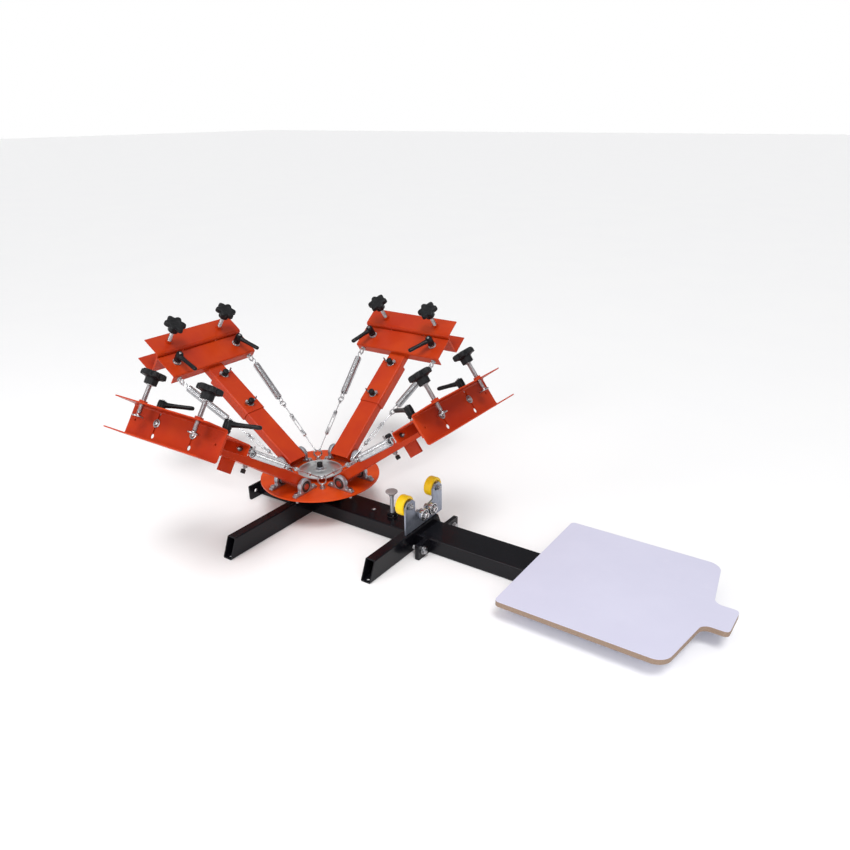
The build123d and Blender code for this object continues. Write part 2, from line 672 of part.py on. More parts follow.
def clamp_lever(side, turn):
    """A ratchet lever on a washer, clamping the bracket. Unturned, it points back along the arm."""
    v = side * LEVER_V
    washer = rod((LEVER_S, v, BRACKET_TOP + 0.1), (0, 0, 1), 13, 3)
    stud = rod((LEVER_S, v, BRACKET_TOP - 12), (0, 0, 1), M8_R, 16)
    hub_low = BRACKET_TOP + 3
    hub_body = rod((LEVER_S, v, hub_low), (0, 0, 1), 11.5, LEVER_HUB_H)
    rise = atan2(LEVER_RISE, LEVER_ARM)
    along = (-cos(rise), 0, sin(rise))
    length = hypot(LEVER_RISE, LEVER_ARM)
    grip = rod((LEVER_S - 4, v, hub_low + LEVER_HUB_H - 10), along, LEVER_GRIP_R, length)
    hinge = Pos(LEVER_S, v, 0) * Rotation(0, 0, turn) * Pos(-LEVER_S, -v, 0)
    return hinge * (washer + stud + hub_body + grip)


def between(start, end, share):
    """The point at a share of the way from start to end."""
    return tuple(a + (b - a) * share for a, b in zip(start, end))


def spring_ends(side):
    """Where one spring line starts at the carriage and ends at the post, for arm 1."""
    tilt = radians(ARM_TILT)
    s = BRACKET_S[0] - 5 - 2 * EYE_RING_R - EYE_WIRE_R - SPRING_END_GAP
    start = (
        PIVOT_U + s * cos(tilt) - EYE_E * sin(tilt),
        side * EYE_V,
        PIVOT_Z + s * sin(tilt) + EYE_E * cos(tilt),
    )
    post = POST_RADIUS / 2 ** 0.5
    return start, (post + SPRING_POST_OFF, side * (post - 4), POST_RING_Z + POST_RING_R)


def spring_line(side):
    """One spring line: hook wire, extension spring, long wire, open turnbuckle and hook wire."""
    start, end = spring_ends(side)
    line = tuple(b - a for a, b in zip(start, end))
    length = hypot(*line)
    body = rod(start, line, SPRING_WIRE_R, length)
    first, last = SPRING_SPAN
    body += rod(between(start, end, first), line, SPRING_R, length * (last - first))
    first, last = BUCKLE_SPAN
    return body + rod(between(start, end, first), line, 5, length * (last - first))


# ---------------------------------------------------------------- nodes

def save_base():
    """Everything that stands still."""
    save("beam", beam())
    save("rear_leg", leg(REAR_LEG_X, REAR_LEG_NEAR_Y))
    save("front_leg", leg(FRONT_LEG_X, FRONT_LEG_NEAR_Y))
    save("pallet_arm", pallet_arm())
    save("pallet", pallet())
    joint_bolts = [joint_bolt(-JOINT_BOLT_Y), joint_bolt(JOINT_BOLT_Y)]
    save("beam_fasteners", *joint_bolts, rest_nut(), lock_screw())
    save("pedestal", pedestal())
    save("rest_screw", rest_screw())
    save("gate_plate", gate_plate())
    gate_bolts = [roller_axle(side) for side in (-1, 1)] + [bearing_bolt(side) for side in (-1, 1)]
    save("gate_bolts", *gate_bolts)
    for name, side in (("near", -1), ("far", 1)):
        save(f"roller_{name}", roller(side))
        save(f"bearing_{name}", bearing(side))


def save_turntable():
    """The disc and what is bolted to it."""
    save("disc", disc())
    save("hub", hub())
    save("hub_cap", hub_cap())
    blocks = [around(pillow_block(side), index) for index in range(4) for side in (-1, 1)]
    save("pillow_blocks", *blocks)
    bolts = [around(block_bolt(u, v), index) for index in range(4) for u, v in block_feet()]
    save("block_bolts", *bolts)
    save("spring_posts", *[around(spring_post(), index) for index in range(4)])


def save_arm(index):
    """One print arm, its carriage, screen channel, clamps and springs."""
    arm = f"arm_{index + 1}"
    save(f"{arm}_tube", on_arm(arm_tube(), index))
    hardware = [hinge_shaft(), stop_bolt()] + [wing_screw(s) for s in WING_S]
    save(f"{arm}_hardware", *[on_arm(piece, index) for piece in hardware])
    save(f"{arm}_carriage", on_arm(carriage(), index))
    fixings = [make(side) for make in (carriage_eye, slot_bolt) for side in (-1, 1)]
    save(f"{arm}_carriage_bolts", *[on_arm(piece, index) for piece in fixings])
    save(f"{arm}_screen_channel", on_arm(screen_channel(), index))
    for letter, side, turn in zip("ab", (-1, 1), LEVER_TURNS[index]):
        save(f"{arm}_clamp_screw_{letter}", on_arm(clamp_screw(side), index))
        save(f"{arm}_lever_{letter}", on_arm(clamp_lever(side, turn), index))
    save(f"{arm}_springs", *[around(spring_line(side), index) for side in (-1, 1)])


os.makedirs("parts", exist_ok=True)
save_base()
save_turntable()
for number in range(4):
    save_arm(number)
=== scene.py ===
"""The looks of the screen printing carousel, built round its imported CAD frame.

Lengths are millimetres unless a name ends in _M, which is metres as in the frame. An arm's own axes are x
along the arm from its hinge, y across it and z square to both. Every piece takes its place and its main
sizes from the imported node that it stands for.
"""
from math import atan2, cos, hypot, pi, radians, sin, tau
import json

import bmesh
import bpy
from mathutils import Matrix, Vector


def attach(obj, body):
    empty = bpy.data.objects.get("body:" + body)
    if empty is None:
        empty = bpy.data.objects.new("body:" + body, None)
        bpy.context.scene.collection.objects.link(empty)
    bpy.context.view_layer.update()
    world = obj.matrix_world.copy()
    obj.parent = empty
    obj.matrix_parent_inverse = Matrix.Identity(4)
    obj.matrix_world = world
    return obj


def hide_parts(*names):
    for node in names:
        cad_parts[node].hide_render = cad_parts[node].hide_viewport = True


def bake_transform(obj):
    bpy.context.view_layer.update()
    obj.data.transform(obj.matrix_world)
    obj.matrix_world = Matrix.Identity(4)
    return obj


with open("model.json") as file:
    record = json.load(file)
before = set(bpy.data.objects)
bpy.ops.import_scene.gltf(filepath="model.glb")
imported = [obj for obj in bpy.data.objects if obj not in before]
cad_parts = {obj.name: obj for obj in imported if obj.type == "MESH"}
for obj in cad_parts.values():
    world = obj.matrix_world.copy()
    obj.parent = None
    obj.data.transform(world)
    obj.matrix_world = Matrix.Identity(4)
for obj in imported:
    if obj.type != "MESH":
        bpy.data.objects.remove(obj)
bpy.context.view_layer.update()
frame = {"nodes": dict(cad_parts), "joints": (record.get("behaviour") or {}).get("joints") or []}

NODES = frame["nodes"]
JOINTS = {joint["name"]: joint for joint in frame["joints"]}
ARMS = (1, 2, 3, 4)
MM = 0.001


# ---- places, read from the frame

def move(x, y, z):
    """A translation."""
    return Matrix.Translation(Vector((x, y, z)) * MM)


def turn(angle, axis="Z"):
    """A rotation about an axis through the origin."""
    return Matrix.Rotation(angle, 4, axis)


ALONG_X = turn(pi / 2, "Y")


def arm_frame(number):
    """From an arm's own axes to the row frame, at rest."""
    along = Vector(JOINTS[f"arm_{number}_reach"]["axis"]).normalized()
    across = Vector(JOINTS[f"arm_{number}_lift"]["axis"]).normalized()
    matrix = Matrix((along, across, along.cross(across))).transposed().to_4x4()
    matrix.translation = Vector(JOINTS[f"arm_{number}_lift"]["pos_m"])
    return matrix


def flat_frame(number):
    """Upright axes at the turntable's centre, with x pointing the way the arm does."""
    along = Vector(JOINTS[f"arm_{number}_reach"]["axis"])
    return turn(atan2(along.y, along.x))


class Box:
    """The extent of one solid along some axes."""

    def __init__(self, points):
        self.low = Vector([min(point[axis] for point in points) for axis in range(3)]) / MM
        self.high = Vector([max(point[axis] for point in points) for axis in range(3)]) / MM
        self.middle = (self.low + self.high) / 2
        self.size = self.high - self.low


def solids(node, axes=Matrix()):
    """The box of each separate solid of a node, measured along the given axes."""
    inverse = axes.inverted()
    mesh = bmesh.new()
    mesh.from_mesh(NODES[node].data)
    bmesh.ops.remove_doubles(mesh, verts=mesh.verts, dist=1e-6)
    seen = set()
    found = []
    for start in mesh.verts:
        if start in seen:
            continue
        seen.add(start)
        queue = [start]
        points = []
        while queue:
            vertex = queue.pop()
            points.append(inverse @ vertex.co)
            for edge in vertex.link_edges:
                other = edge.other_vert(vertex)
                if other not in seen:
                    seen.add(other)
                    queue.append(other)
        found.append(Box(points))
    mesh.free()
    return found


def whole(node, axes=Matrix()):
    """The box of a whole node, measured along the given axes."""
    inverse = axes.inverted()
    return Box([inverse @ vertex.co for vertex in NODES[node].data.vertices])


# ---- mesh building

class Shape:
    """Collects the parts of one piece's mesh, each part with its own material."""

    def __init__(self):
        self.points = []
        self.faces = []
        self.slots = []
        self.materials = []

    def add(self, points, faces, material, matrix=None):
        """Adds vertices and faces, placed by a matrix whose translation is in metres."""
        if material not in self.materials:
            self.materials.append(material)
        slot = self.materials.index(material)
        base = len(self.points)
        place_at = matrix or Matrix()
        self.points += [place_at @ (Vector(point) * MM) for point in points]
        for face in faces:
            self.faces.append([base + index for index in face])
            self.slots.append(slot)

    def skin(self, rows, material, matrix=None, closed=False):
        """Skins equal rows of points, capping both ends unless the last row meets the first."""
        count = len(rows[0])
        points = [point for row in rows for point in row]
        faces = []
        for row in range(len(rows) if closed else len(rows) - 1):
            after = (row + 1) % len(rows)
            for column in range(count):
                beside = (column + 1) % count
                corners = (row, column), (row, beside), (after, beside), (after, column)
                faces.append(tuple(line * count + place for line, place in corners))
        if not closed:
            last = (len(rows) - 1) * count
            faces.append(tuple(reversed(range(count))))
            faces.append(tuple(range(last, last + count)))
        self.add(points, faces, material, matrix)

    def lathe(self, profile, material, matrix=None, steps=40, closed=False):
        """Turns a profile of (radius, height) points about z."""
        rows = []
        for radius, height in profile:
            angles = [tau * step / steps for step in range(steps)]
            rows.append([(radius * cos(angle), radius * sin(angle), height) for angle in angles])
        self.skin(rows, material, matrix, closed)

    def ring(self, outer, inner, low, high, edge, material, matrix=None, steps=48):
        """A turned ring with its four edges softened."""
        profile = [(inner, low + edge), (inner + edge, low), (outer - edge, low)]
        profile += soft_corner(outer, low, edge, 1) + soft_corner(outer, high, edge, -1)
        profile += [(outer - edge, high), (inner + edge, high), (inner, high - edge)]
        self.lathe(profile, material, matrix, steps, closed=True)

    def disc(self, radius, low, high, edge, material, matrix=None, steps=40):
        """A turned solid with both rims softened."""
        profile = [(0.1, low), (radius - edge, low)]
        profile += soft_corner(radius, low, edge, 1) + soft_corner(radius, high, edge, -1)
        profile += [(radius - edge, high), (0.1, high)]
        self.lathe(profile, material, matrix, steps)

    def hexagon(self, across, low, high, material, matrix=None, hole=0.0):
        """A hexagonal head or nut with turned corners, optionally with a hole."""
        flat = across / 2
        rim = flat * 0.96
        corner = flat / cos(pi / 6)
        cut = (corner - rim) * 0.6
        levels = [(low + cut * share, rim + (corner - rim) * share) for share in (0, 0.35, 0.7, 1)]
        levels += [(high - (height - low), limit) for height, limit in reversed(levels)]
        steps = 48
        angles = [tau * step / steps for step in range(steps)]
        rows = []
        for height, limit in levels:
            radii = [min(flat / cos(angle % (pi / 3) - pi / 6), limit) for angle in angles]
            rows.append([(r * cos(angle), r * sin(angle), height) for r, angle in zip(radii, angles)])
        if hole:
            for height in (high, low):
                rows.append([(hole * cos(angle), hole * sin(angle), height) for angle in angles])
        self.skin(rows, material, matrix, closed=bool(hole))

    def thread(self, radius, low, high, pitch, material, matrix=None, steps=16):
        """A threaded rod."""
        depth = pitch * 0.45
        count = max(4, int((high - low) / pitch * 5))
        rows = []
        for index in range(count + 1):
            height = low + (high - low) * index / count
            tip = index in (0, count)
            row = []
            for step in range(steps):
                phase = ((height - low) / pitch - step / steps) % 1.0
                shaft = radius - (depth if tip else depth * abs(2 * phase - 1))
                angle = tau * step / steps
                row.append((shaft * cos(angle), shaft * sin(angle), height))
            rows.append(row)
        self.skin(rows, material, matrix)

    def wire(self, path, radius, material, matrix=None, closed=False, sides=10):
        """A round wire along a path."""
        path = [Vector(point) for point in path]
        count = len(path)
        normal = Vector((0.31, 0.17, 0.94))
        frames = []
        for index in range(count):
            before = path[index - 1] if closed or index else path[index]
            after = path[(index + 1) % count] if closed or index < count - 1 else path[index]
            tangent = (after - before).normalized()
            normal = (normal - tangent * normal.dot(tangent)).normalized()
            frames.append((normal, tangent.cross(normal)))
        twist = 0.0
        if closed:
            first = frames[0]
            tangent = first[0].cross(first[1])
            carried = (frames[-1][0] - tangent * frames[-1][0].dot(tangent)).normalized()
            twist = atan2(carried.dot(first[1]), carried.dot(first[0]))
        rows = []
        for index, (point, (side, up)) in enumerate(zip(path, frames)):
            lean = -twist * index / count
            angles = [tau * step / sides + lean for step in range(sides)]
            rows.append([point + (side * cos(a) + up * sin(a)) * radius for a in angles])
        self.skin(rows, material, matrix, closed)

    def bar(self, sections, material, matrix=None, steps=20):
        """An oval bar in the xz plane through sections of (x, z, half width, half thickness)."""
        sections = smooth(sections, 4)
        rows = []
        for index, (x, z, width, height) in enumerate(sections):
            before = sections[max(index - 1, 0)]
            after = sections[min(index + 1, len(sections) - 1)]
            run = Vector((after[0] - before[0], 0, after[1] - before[1])).normalized()
            up = Vector((-run.z, 0, run.x))
            angles = [tau * step / steps for step in range(steps)]
            middle = Vector((x, 0, z))
            rows.append([middle + Vector((0, width * cos(a), 0)) + up * height * sin(a) for a in angles])
        self.skin(rows, material, matrix)

    def plate(self, outline, low, high, edge, material, matrix=None):
        """A plate between two heights, with softened rims, from an outline that turns anticlockwise."""
        work = bmesh.new()
        base = [work.verts.new((x, y, low)) for x, y in outline]
        bottom = work.faces.new(base)
        lifted = bmesh.ops.extrude_face_region(work, geom=[bottom])["geom"]
        for vertex in lifted:
            if isinstance(vertex, bmesh.types.BMVert):
                vertex.co.z = high
        rims = [e for e in work.edges if abs(e.verts[0].co.z - e.verts[1].co.z) < 1e-6]
        bmesh.ops.bevel(work, geom=rims, offset=edge, segments=2, profile=0.5, affect="EDGES")
        work.verts.index_update()
        points = [vertex.co.copy() for vertex in work.verts]
        faces = [[vertex.index for vertex in face.verts] for face in work.faces]
        work.free()
        self.add(points, faces, material, matrix)

    def mesh(self, name):
        """The finished mesh, smooth except at its real edges."""
        mesh = bpy.data.meshes.new(name)
        mesh.from_pydata([tuple(point) for point in self.points], [], self.faces)
        for material in self.materials:
            mesh.materials.append(material)
        mesh.polygons.foreach_set("material_index", self.slots)
        work = bmesh.new()
        work.from_mesh(mesh)
        bmesh.ops.recalc_face_normals(work, faces=work.faces)
        work.to_mesh(mesh)
        work.free()
        mesh.polygons.foreach_set("use_smooth", [True] * len(mesh.polygons))
        mesh.set_sharp_from_angle(angle=radians(40))
        return mesh


def soft_corner(radius, height, edge, way):
    """Three points round a turned corner: way 1 climbs from a low face, and way -1 meets a high one."""
    points = [(radius - edge * 0.3, height + way * edge * 0.3), (radius, height + way * edge)]
    return points if way > 0 else points[::-1]


def between(t, p, q, r, s):
    """The value at a share t of the way from q to r, on a smooth curve that also minds p and s."""
    bend = (2 * p - 5 * q + 4 * r - s) * t ** 2 + (3 * q - p - 3 * r + s) * t ** 3
    return 0.5 * (2 * q + (r - p) * t + bend)


def smooth(rows, steps):
    """Points on a smooth curve through rows of numbers."""
    found = []
    for index in range(len(rows) - 1):
        a, b, c, d = (rows[min(max(index + k, 0), len(rows) - 1)] for k in (-1, 0, 1, 2))
        for step in range(steps):
            found.append(tuple(between(step / steps, *four) for four in zip(a, b, c, d)))
    return found + [tuple(rows[-1])]


def arc(middle, radius, start, end, steps):
    """Points along an arc in a plane, with angles in degrees."""
    angles = [radians(start + (end - start) * step / steps) for step in range(steps + 1)]
    return [(middle[0] + radius * cos(angle), middle[1] + radius * sin(angle)) for angle in angles]


def put(name, mesh, matrix, body, node=None):
    """Puts a mesh in the scene on a body, in the stead of the CAD node that it stands for."""
    piece = bpy.data.objects.new(name, mesh)
    bpy.context.scene.collection.objects.link(piece)
    piece.matrix_world = matrix
    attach(piece, body)
    if node:
        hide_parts(node)


# ---- materials

class Finish:
    """A procedural material: two shades mottled together, worn edges, uneven gloss and a fine relief."""

    def __init__(self, name, shade, roughness, metallic=0.0, coat=0.0, shine=0.5):
        self.material = bpy.data.materials.new(name)
        self.material.use_nodes = True
        self.material.diffuse_color = (*shade, 1)
        self.tree = self.material.node_tree
        self.shader = self.tree.nodes["Principled BSDF"]
        self.shader.inputs["Metallic"].default_value = metallic
        self.shader.inputs["Specular IOR Level"].default_value = shine
        self.shader.inputs["Coat Weight"].default_value = coat
        self.shader.inputs["Coat Roughness"].default_value = 0.12
        self.shader.inputs["Base Color"].default_value = (*shade, 1)
        self.shader.inputs["Roughness"].default_value = roughness
        self.colour = None
        self.rough = None
        self.base_shade = shade
        self.base_roughness = roughness
        self.place = self.node("ShaderNodeTexCoord").outputs["Object"]

    def node(self, kind, inputs=None, **settings):
        """A node, with settings on it and values or links on its inputs."""
        made = self.tree.nodes.new(kind)
        for name, value in settings.items():
            setattr(made, name, value)
        for name, value in (inputs or {}).items():
            if isinstance(value, bpy.types.NodeSocket):
                self.tree.links.new(value, made.inputs[name])
            else:
                made.inputs[name].default_value = value
        return made

    def noise(self, scale, detail=3.0, stretch=(1, 1, 1), roughness=0.55):
        """Noise with features of 1/scale metres."""
        place = self.place
        if stretch != (1, 1, 1):
            place = self.node("ShaderNodeMapping", {"Vector": place, "Scale": stretch}).outputs[0]
        inputs = {"Vector": place, "Scale": scale, "Detail": detail, "Roughness": roughness}
        return self.node("ShaderNodeTexNoise", inputs).outputs["Fac"]

    def remap(self, value, low, high, to_low=0.0, to_high=1.0):
        """A value mapped from one range to another, and clamped."""
        inputs = {"Value": value, "From Min": low, "From Max": high, "To Min": to_low, "To Max": to_high}
        return self.node("ShaderNodeMapRange", inputs, clamp=True).outputs[0]

    def maths(self, operation, a, b):
        """A sum, product or other simple operation."""
        return self.node("ShaderNodeMath", {0: a, 1: b}, operation=operation).outputs[0]

    def tint(self, factor, shade):
        """Mixes a shade over the colour by a factor."""
        under = self.colour if self.colour else (*self.base_shade, 1)
        mix = self.node("ShaderNodeMix", data_type="RGBA")
        self.tree.links.new(factor, mix.inputs[0])
        if self.colour:
            self.tree.links.new(under, mix.inputs[6])
        else:
            mix.inputs[6].default_value = under
        mix.inputs[7].default_value = (*shade, 1)
        self.colour = mix.outputs[2]

    def dull(self, factor, amount):
        """Adds to the roughness by a factor times an amount."""
        under = self.rough if self.rough else self.base_roughness
        self.rough = self.maths("ADD", under, self.maths("MULTIPLY", factor, amount))

    def wear(self, radius, shade, strength, rough):
        """Shows another shade along sharp edges, broken up by noise."""
        soft = self.node("ShaderNodeBevel", {"Radius": radius * MM}, samples=4).outputs[0]
        flat = self.node("ShaderNodeNewGeometry").outputs["Normal"]
        inputs = {0: soft, 1: flat}
        alike = self.node("ShaderNodeVectorMath", inputs, operation="DOT_PRODUCT").outputs["Value"]
        edge = self.remap(alike, 0.995, 0.86)
        broken = self.remap(self.noise(160, 4), 0.42, 0.66)
        factor = self.maths("MULTIPLY", self.maths("MULTIPLY", edge, broken), strength)
        self.tint(factor, shade)
        self.dull(factor, rough)

    def cloud(self, scale, detail, low, high, shade, most=1.0):
        """Tints with a shade as noise climbs from low to high."""
        self.tint(self.remap(self.noise(scale, detail), low, high, 0, most), shade)

    def smear(self, scale, low, high, amount, detail=4):
        """Dulls the gloss as noise climbs from low to high."""
        self.dull(self.remap(self.noise(scale, detail), low, high), amount)

    def relief(self, height, strength, distance, soften):
        """Bump from a height value, over edges softened by a radius."""
        inputs = {"Height": height, "Strength": strength, "Distance": distance * MM}
        inputs["Normal"] = self.node("ShaderNodeBevel", {"Radius": soften * MM}, samples=4).outputs[0]
        bump = self.node("ShaderNodeBump", inputs)
        self.tree.links.new(bump.outputs[0], self.shader.inputs["Normal"])

    def done(self):
        """Links the built-up colour and roughness, and gives the material."""
        if self.colour:
            self.tree.links.new(self.colour, self.shader.inputs["Base Color"])
        if self.rough:
            self.tree.links.new(self.rough, self.shader.inputs["Roughness"])
        return self.material


def paint(name, shade, deep, worn, roughness, coat, shine, uneven=0.1):
    """Powder coat: a faint mottle, patches of duller gloss, orange peel and rubbed edges."""
    finish = Finish(name, shade, roughness, coat=coat, shine=shine)
    finish.cloud(9, 3, 0.35, 0.7, deep)
    finish.cloud(70, 5, 0.6, 0.85, deep, 0.35)
    finish.wear(0.7, worn, 0.75, 0.12)
    finish.smear(45, 0.35, 0.75, uneven)
    finish.relief(finish.noise(420, 2), 1.6 * uneven, 0.12, soften=0.7)
    return finish.done()


def metal(name, shade, dark, roughness, stretch=(1, 1, 1), grain=500, spread=0.14):
    """Plated or brushed steel: cloudy plating, fine lines and brighter edges."""
    finish = Finish(name, shade, roughness, metallic=1.0)
    finish.cloud(60, 4, 0.38, 0.72, dark)
    finish.wear(0.4, tuple(min(1, level * 1.25) for level in shade), 0.6, -0.05)
    lines = finish.noise(grain, 3, stretch)
    finish.dull(finish.remap(lines, 0.3, 0.75), spread)
    finish.relief(lines, 0.03, 0.03, soften=0.3)
    return finish.done()


def plastic(name, shade, pale, roughness, grain=900, shine=0.35):
    """Moulded plastic: a fine sparkle of relief, scuffs and slightly paler edges."""
    finish = Finish(name, shade, roughness, shine=shine)
    finish.cloud(120, 5, 0.5, 0.8, pale, 0.5)
    finish.wear(0.6, pale, 0.8, 0.1)
    finish.smear(80, 0.35, 0.75, 0.16)
    finish.relief(finish.noise(grain, 3), 0.2, 0.12, soften=0.4)
    return finish.done()


def zinc_plate():
    """Zinc-plated sheet: blue-grey, with cloudy crystals and fine rolling lines."""
    finish = Finish("zinc_plate", (0.34, 0.37, 0.45), 0.34, metallic=0.85)
    cells = finish.node("ShaderNodeTexVoronoi", {"Vector": finish.place, "Scale": 130.0})
    finish.tint(finish.remap(cells.outputs["Distance"], 0.1, 0.9), (0.27, 0.30, 0.37))
    finish.cloud(25, 4, 0.45, 0.75, (0.44, 0.47, 0.54), 0.7)
    finish.wear(0.6, (0.82, 0.84, 0.87), 0.9, -0.08)
    lines = finish.noise(260, 3, (1, 1, 0.06))
    finish.dull(finish.remap(lines, 0.3, 0.7), 0.16)
    finish.relief(lines, 0.1, 0.05, soften=0.5)
    return finish.done()


LAMINATE_M = 0.0012


def printing_board(top_m):
    """A pale laminate on both faces of a brown fibreboard that shows round the edge."""
    finish = Finish("printing_board", (0.63, 0.625, 0.77), 0.36)
    finish.cloud(5, 4, 0.35, 0.75, (0.59, 0.585, 0.73))
    finish.cloud(38, 6, 0.6, 0.8, (0.67, 0.665, 0.79), 0.4)
    normal = finish.node("ShaderNodeNewGeometry").outputs["Normal"]
    upright = finish.node("ShaderNodeSeparateXYZ", {0: normal}).outputs["Z"]
    side = finish.remap(finish.maths("ABSOLUTE", upright, 0.0), 0.8, 0.5)
    height = finish.node("ShaderNodeSeparateXYZ", {0: finish.place}).outputs["Z"]
    core = finish.remap(height, top_m - LAMINATE_M, top_m - LAMINATE_M - 0.0004)
    rim = finish.maths("MULTIPLY", side, core)
    finish.tint(rim, (0.33, 0.235, 0.175))
    fibres = finish.noise(240, 6, (1, 1, 5))
    finish.tint(finish.maths("MULTIPLY", rim, finish.remap(fibres, 0.4, 0.7)), (0.22, 0.145, 0.10))
    finish.dull(rim, 0.35)
    finish.smear(20, 0.4, 0.8, 0.14, detail=5)
    finish.relief(finish.noise(520, 3), 0.06, 0.08, soften=0.4)
    return finish.done()


ORANGE = paint(
    "orange_paint", (0.50, 0.042, 0.003), (0.42, 0.026, 0.005), (0.64, 0.14, 0.03), 0.36, 0.05, 0.2)
# A brighter copy of the orange paint for the disc: painted light standing for the overhead light on its
# upturned top.
DISC_ORANGE_PAINTED_LIGHT = paint(
    "disc_paint_painted_light", (0.70, 0.074, 0.004), (0.58, 0.044, 0.005), (0.72, 0.18, 0.03), 0.36, 0.05, 0.2)
BLACK = paint(
    "black_paint", (0.004, 0.004, 0.006), (0.006, 0.0055, 0.008), (0.06, 0.055, 0.06), 0.2, 0.05, 0.2, 0.04)
KNOB = plastic("knob_plastic", (0.008, 0.0085, 0.010), (0.03, 0.031, 0.034), 0.40, shine=0.2)
LEVER = plastic("lever_plastic", (0.006, 0.006, 0.0075), (0.025, 0.026, 0.029), 0.26, shine=0.2)
# Soft black for the stop tips, also used as painted shade in the bearing bolts' hex sockets.
RUBBER_AND_SOCKET_SHADE = plastic("rubber_and_socket_shade", (0.018, 0.017, 0.017), (0.06, 0.058, 0.055), 0.75, 700)
SEAL = plastic("bearing_seal", (0.022, 0.020, 0.020), (0.05, 0.045, 0.04), 0.55)
GRIP = plastic("grey_grip", (0.34, 0.315, 0.32), (0.45, 0.42, 0.425), 0.5, 500)
URETHANE = plastic("yellow_urethane", (0.98, 0.62, 0.004), (1.0, 0.70, 0.02), 0.32, 500)
# A darker orange copy of the yellow urethane: painted shade for the roller's recessed web.
URETHANE_SHADED = plastic("yellow_web_painted_shade", (0.72, 0.33, 0.008), (0.80, 0.42, 0.02), 0.4, 500)
STEEL = metal("bright_steel", (0.52, 0.525, 0.54), (0.36, 0.37, 0.39), 0.27, spread=0.08)
WIRE = metal("spring_wire", (0.60, 0.61, 0.63), (0.44, 0.45, 0.47), 0.22, spread=0.06)
CAST = metal("cast_zinc", (0.50, 0.52, 0.56), (0.34, 0.36, 0.40), 0.38, grain=380, spread=0.2)
CHROME = metal("polished_steel", (0.66, 0.66, 0.68), (0.52, 0.52, 0.54), 0.14, grain=900, spread=0.05)
HUB = metal("turned_hub", (0.74, 0.745, 0.755), (0.68, 0.685, 0.695), 0.34, (1, 1, 0.1), 320, 0.04)
# Dark steel for nuts and washers, also used as painted shade for the slot in the lever's screw.
DARK_STEEL_AND_SLOT_SHADE = metal("dark_steel_and_slot_shade", (0.16, 0.15, 0.15), (0.08, 0.075, 0.075), 0.35)
SHAFT_END = paint("shaft_red", (0.42, 0.045, 0.02), (0.25, 0.03, 0.018), (0.5, 0.3, 0.25), 0.35, 0.2, 0.4)
ZINC = zinc_plate()


def dress(node, material):
    """Gives a CAD node that stays in view its finish."""
    shown = NODES[node]
    shown.data.materials.clear()
    shown.data.materials.append(material)
    shown.data.polygons.foreach_set("material_index", [0] * len(shown.data.polygons))


def dress_all():
    """The finishes of every CAD node that stays in view."""
    for node in ("beam", "rear_leg", "front_leg", "pallet_arm", "pedestal"):
        dress(node, BLACK)
    # The disc takes the brighter copy of the orange paint, painted light on its top.
    dress("disc", DISC_ORANGE_PAINTED_LIGHT)
    dress("gate_plate", ZINC)
    dress("pallet", printing_board(whole("pallet").high.z * MM))
    for number in ARMS:
        for part in ("tube", "carriage", "screen_channel"):
            dress(f"arm_{number}_{part}", ORANGE)


# ---- clamps and levers

KNOB_H = 34


def star_knob(shape, low, high, radius):
    """A six-lobed knob on a fluted hub, with a shallow dish in its top."""
    levels = [
        (0.00, 0.42, 0.01), (0.03, 0.46, 0.03), (0.30, 0.465, 0.04), (0.44, 0.48, 0.05),
        (0.52, 0.56, 0.16), (0.56, 0.67, 0.27), (0.62, 0.715, 0.285), (0.86, 0.71, 0.28),
        (0.94, 0.68, 0.26), (0.985, 0.60, 0.2), (1.00, 0.48, 0.08), (0.985, 0.36, 0.02),
        (0.965, 0.31, 0.0), (0.965, 0.01, 0.0),
    ]
    steps = 96
    rows = []
    for share, core, lobe in smooth(levels, 3):
        row = []
        for step in range(steps):
            angle = tau * step / steps
            reach = radius * (core + lobe * (0.5 + 0.5 * cos(6 * angle)) ** 0.75)
            row.append((reach * cos(angle), reach * sin(angle), low + (high - low) * share))
        rows.append(row)
    shape.skin(rows, KNOB)


def clamp_screw_mesh(box):
    """The clamp screw with its foot at the origin: swivelling foot, threaded spindle and star knob."""
    height = box.size.z
    radius = box.size.x / 2
    knob_low = height - KNOB_H
    shape = Shape()
    foot = [
        (0.1, 0), (12.6, 0), (13.6, 0.4), (14, 1.2), (14, 3.2), (13.2, 4), (8.2, 5), (7.6, 6.6), (0.1, 6.6),
    ]
    shape.lathe(foot, STEEL)
    shape.thread(6, 9, knob_low + 4, 1.9, STEEL)
    shape.ring(9.2, 5.6, knob_low - 1.8, knob_low + 0.2, 0.5, STEEL)
    star_knob(shape, knob_low, height, radius)
    return shape.mesh("clamp_screw")


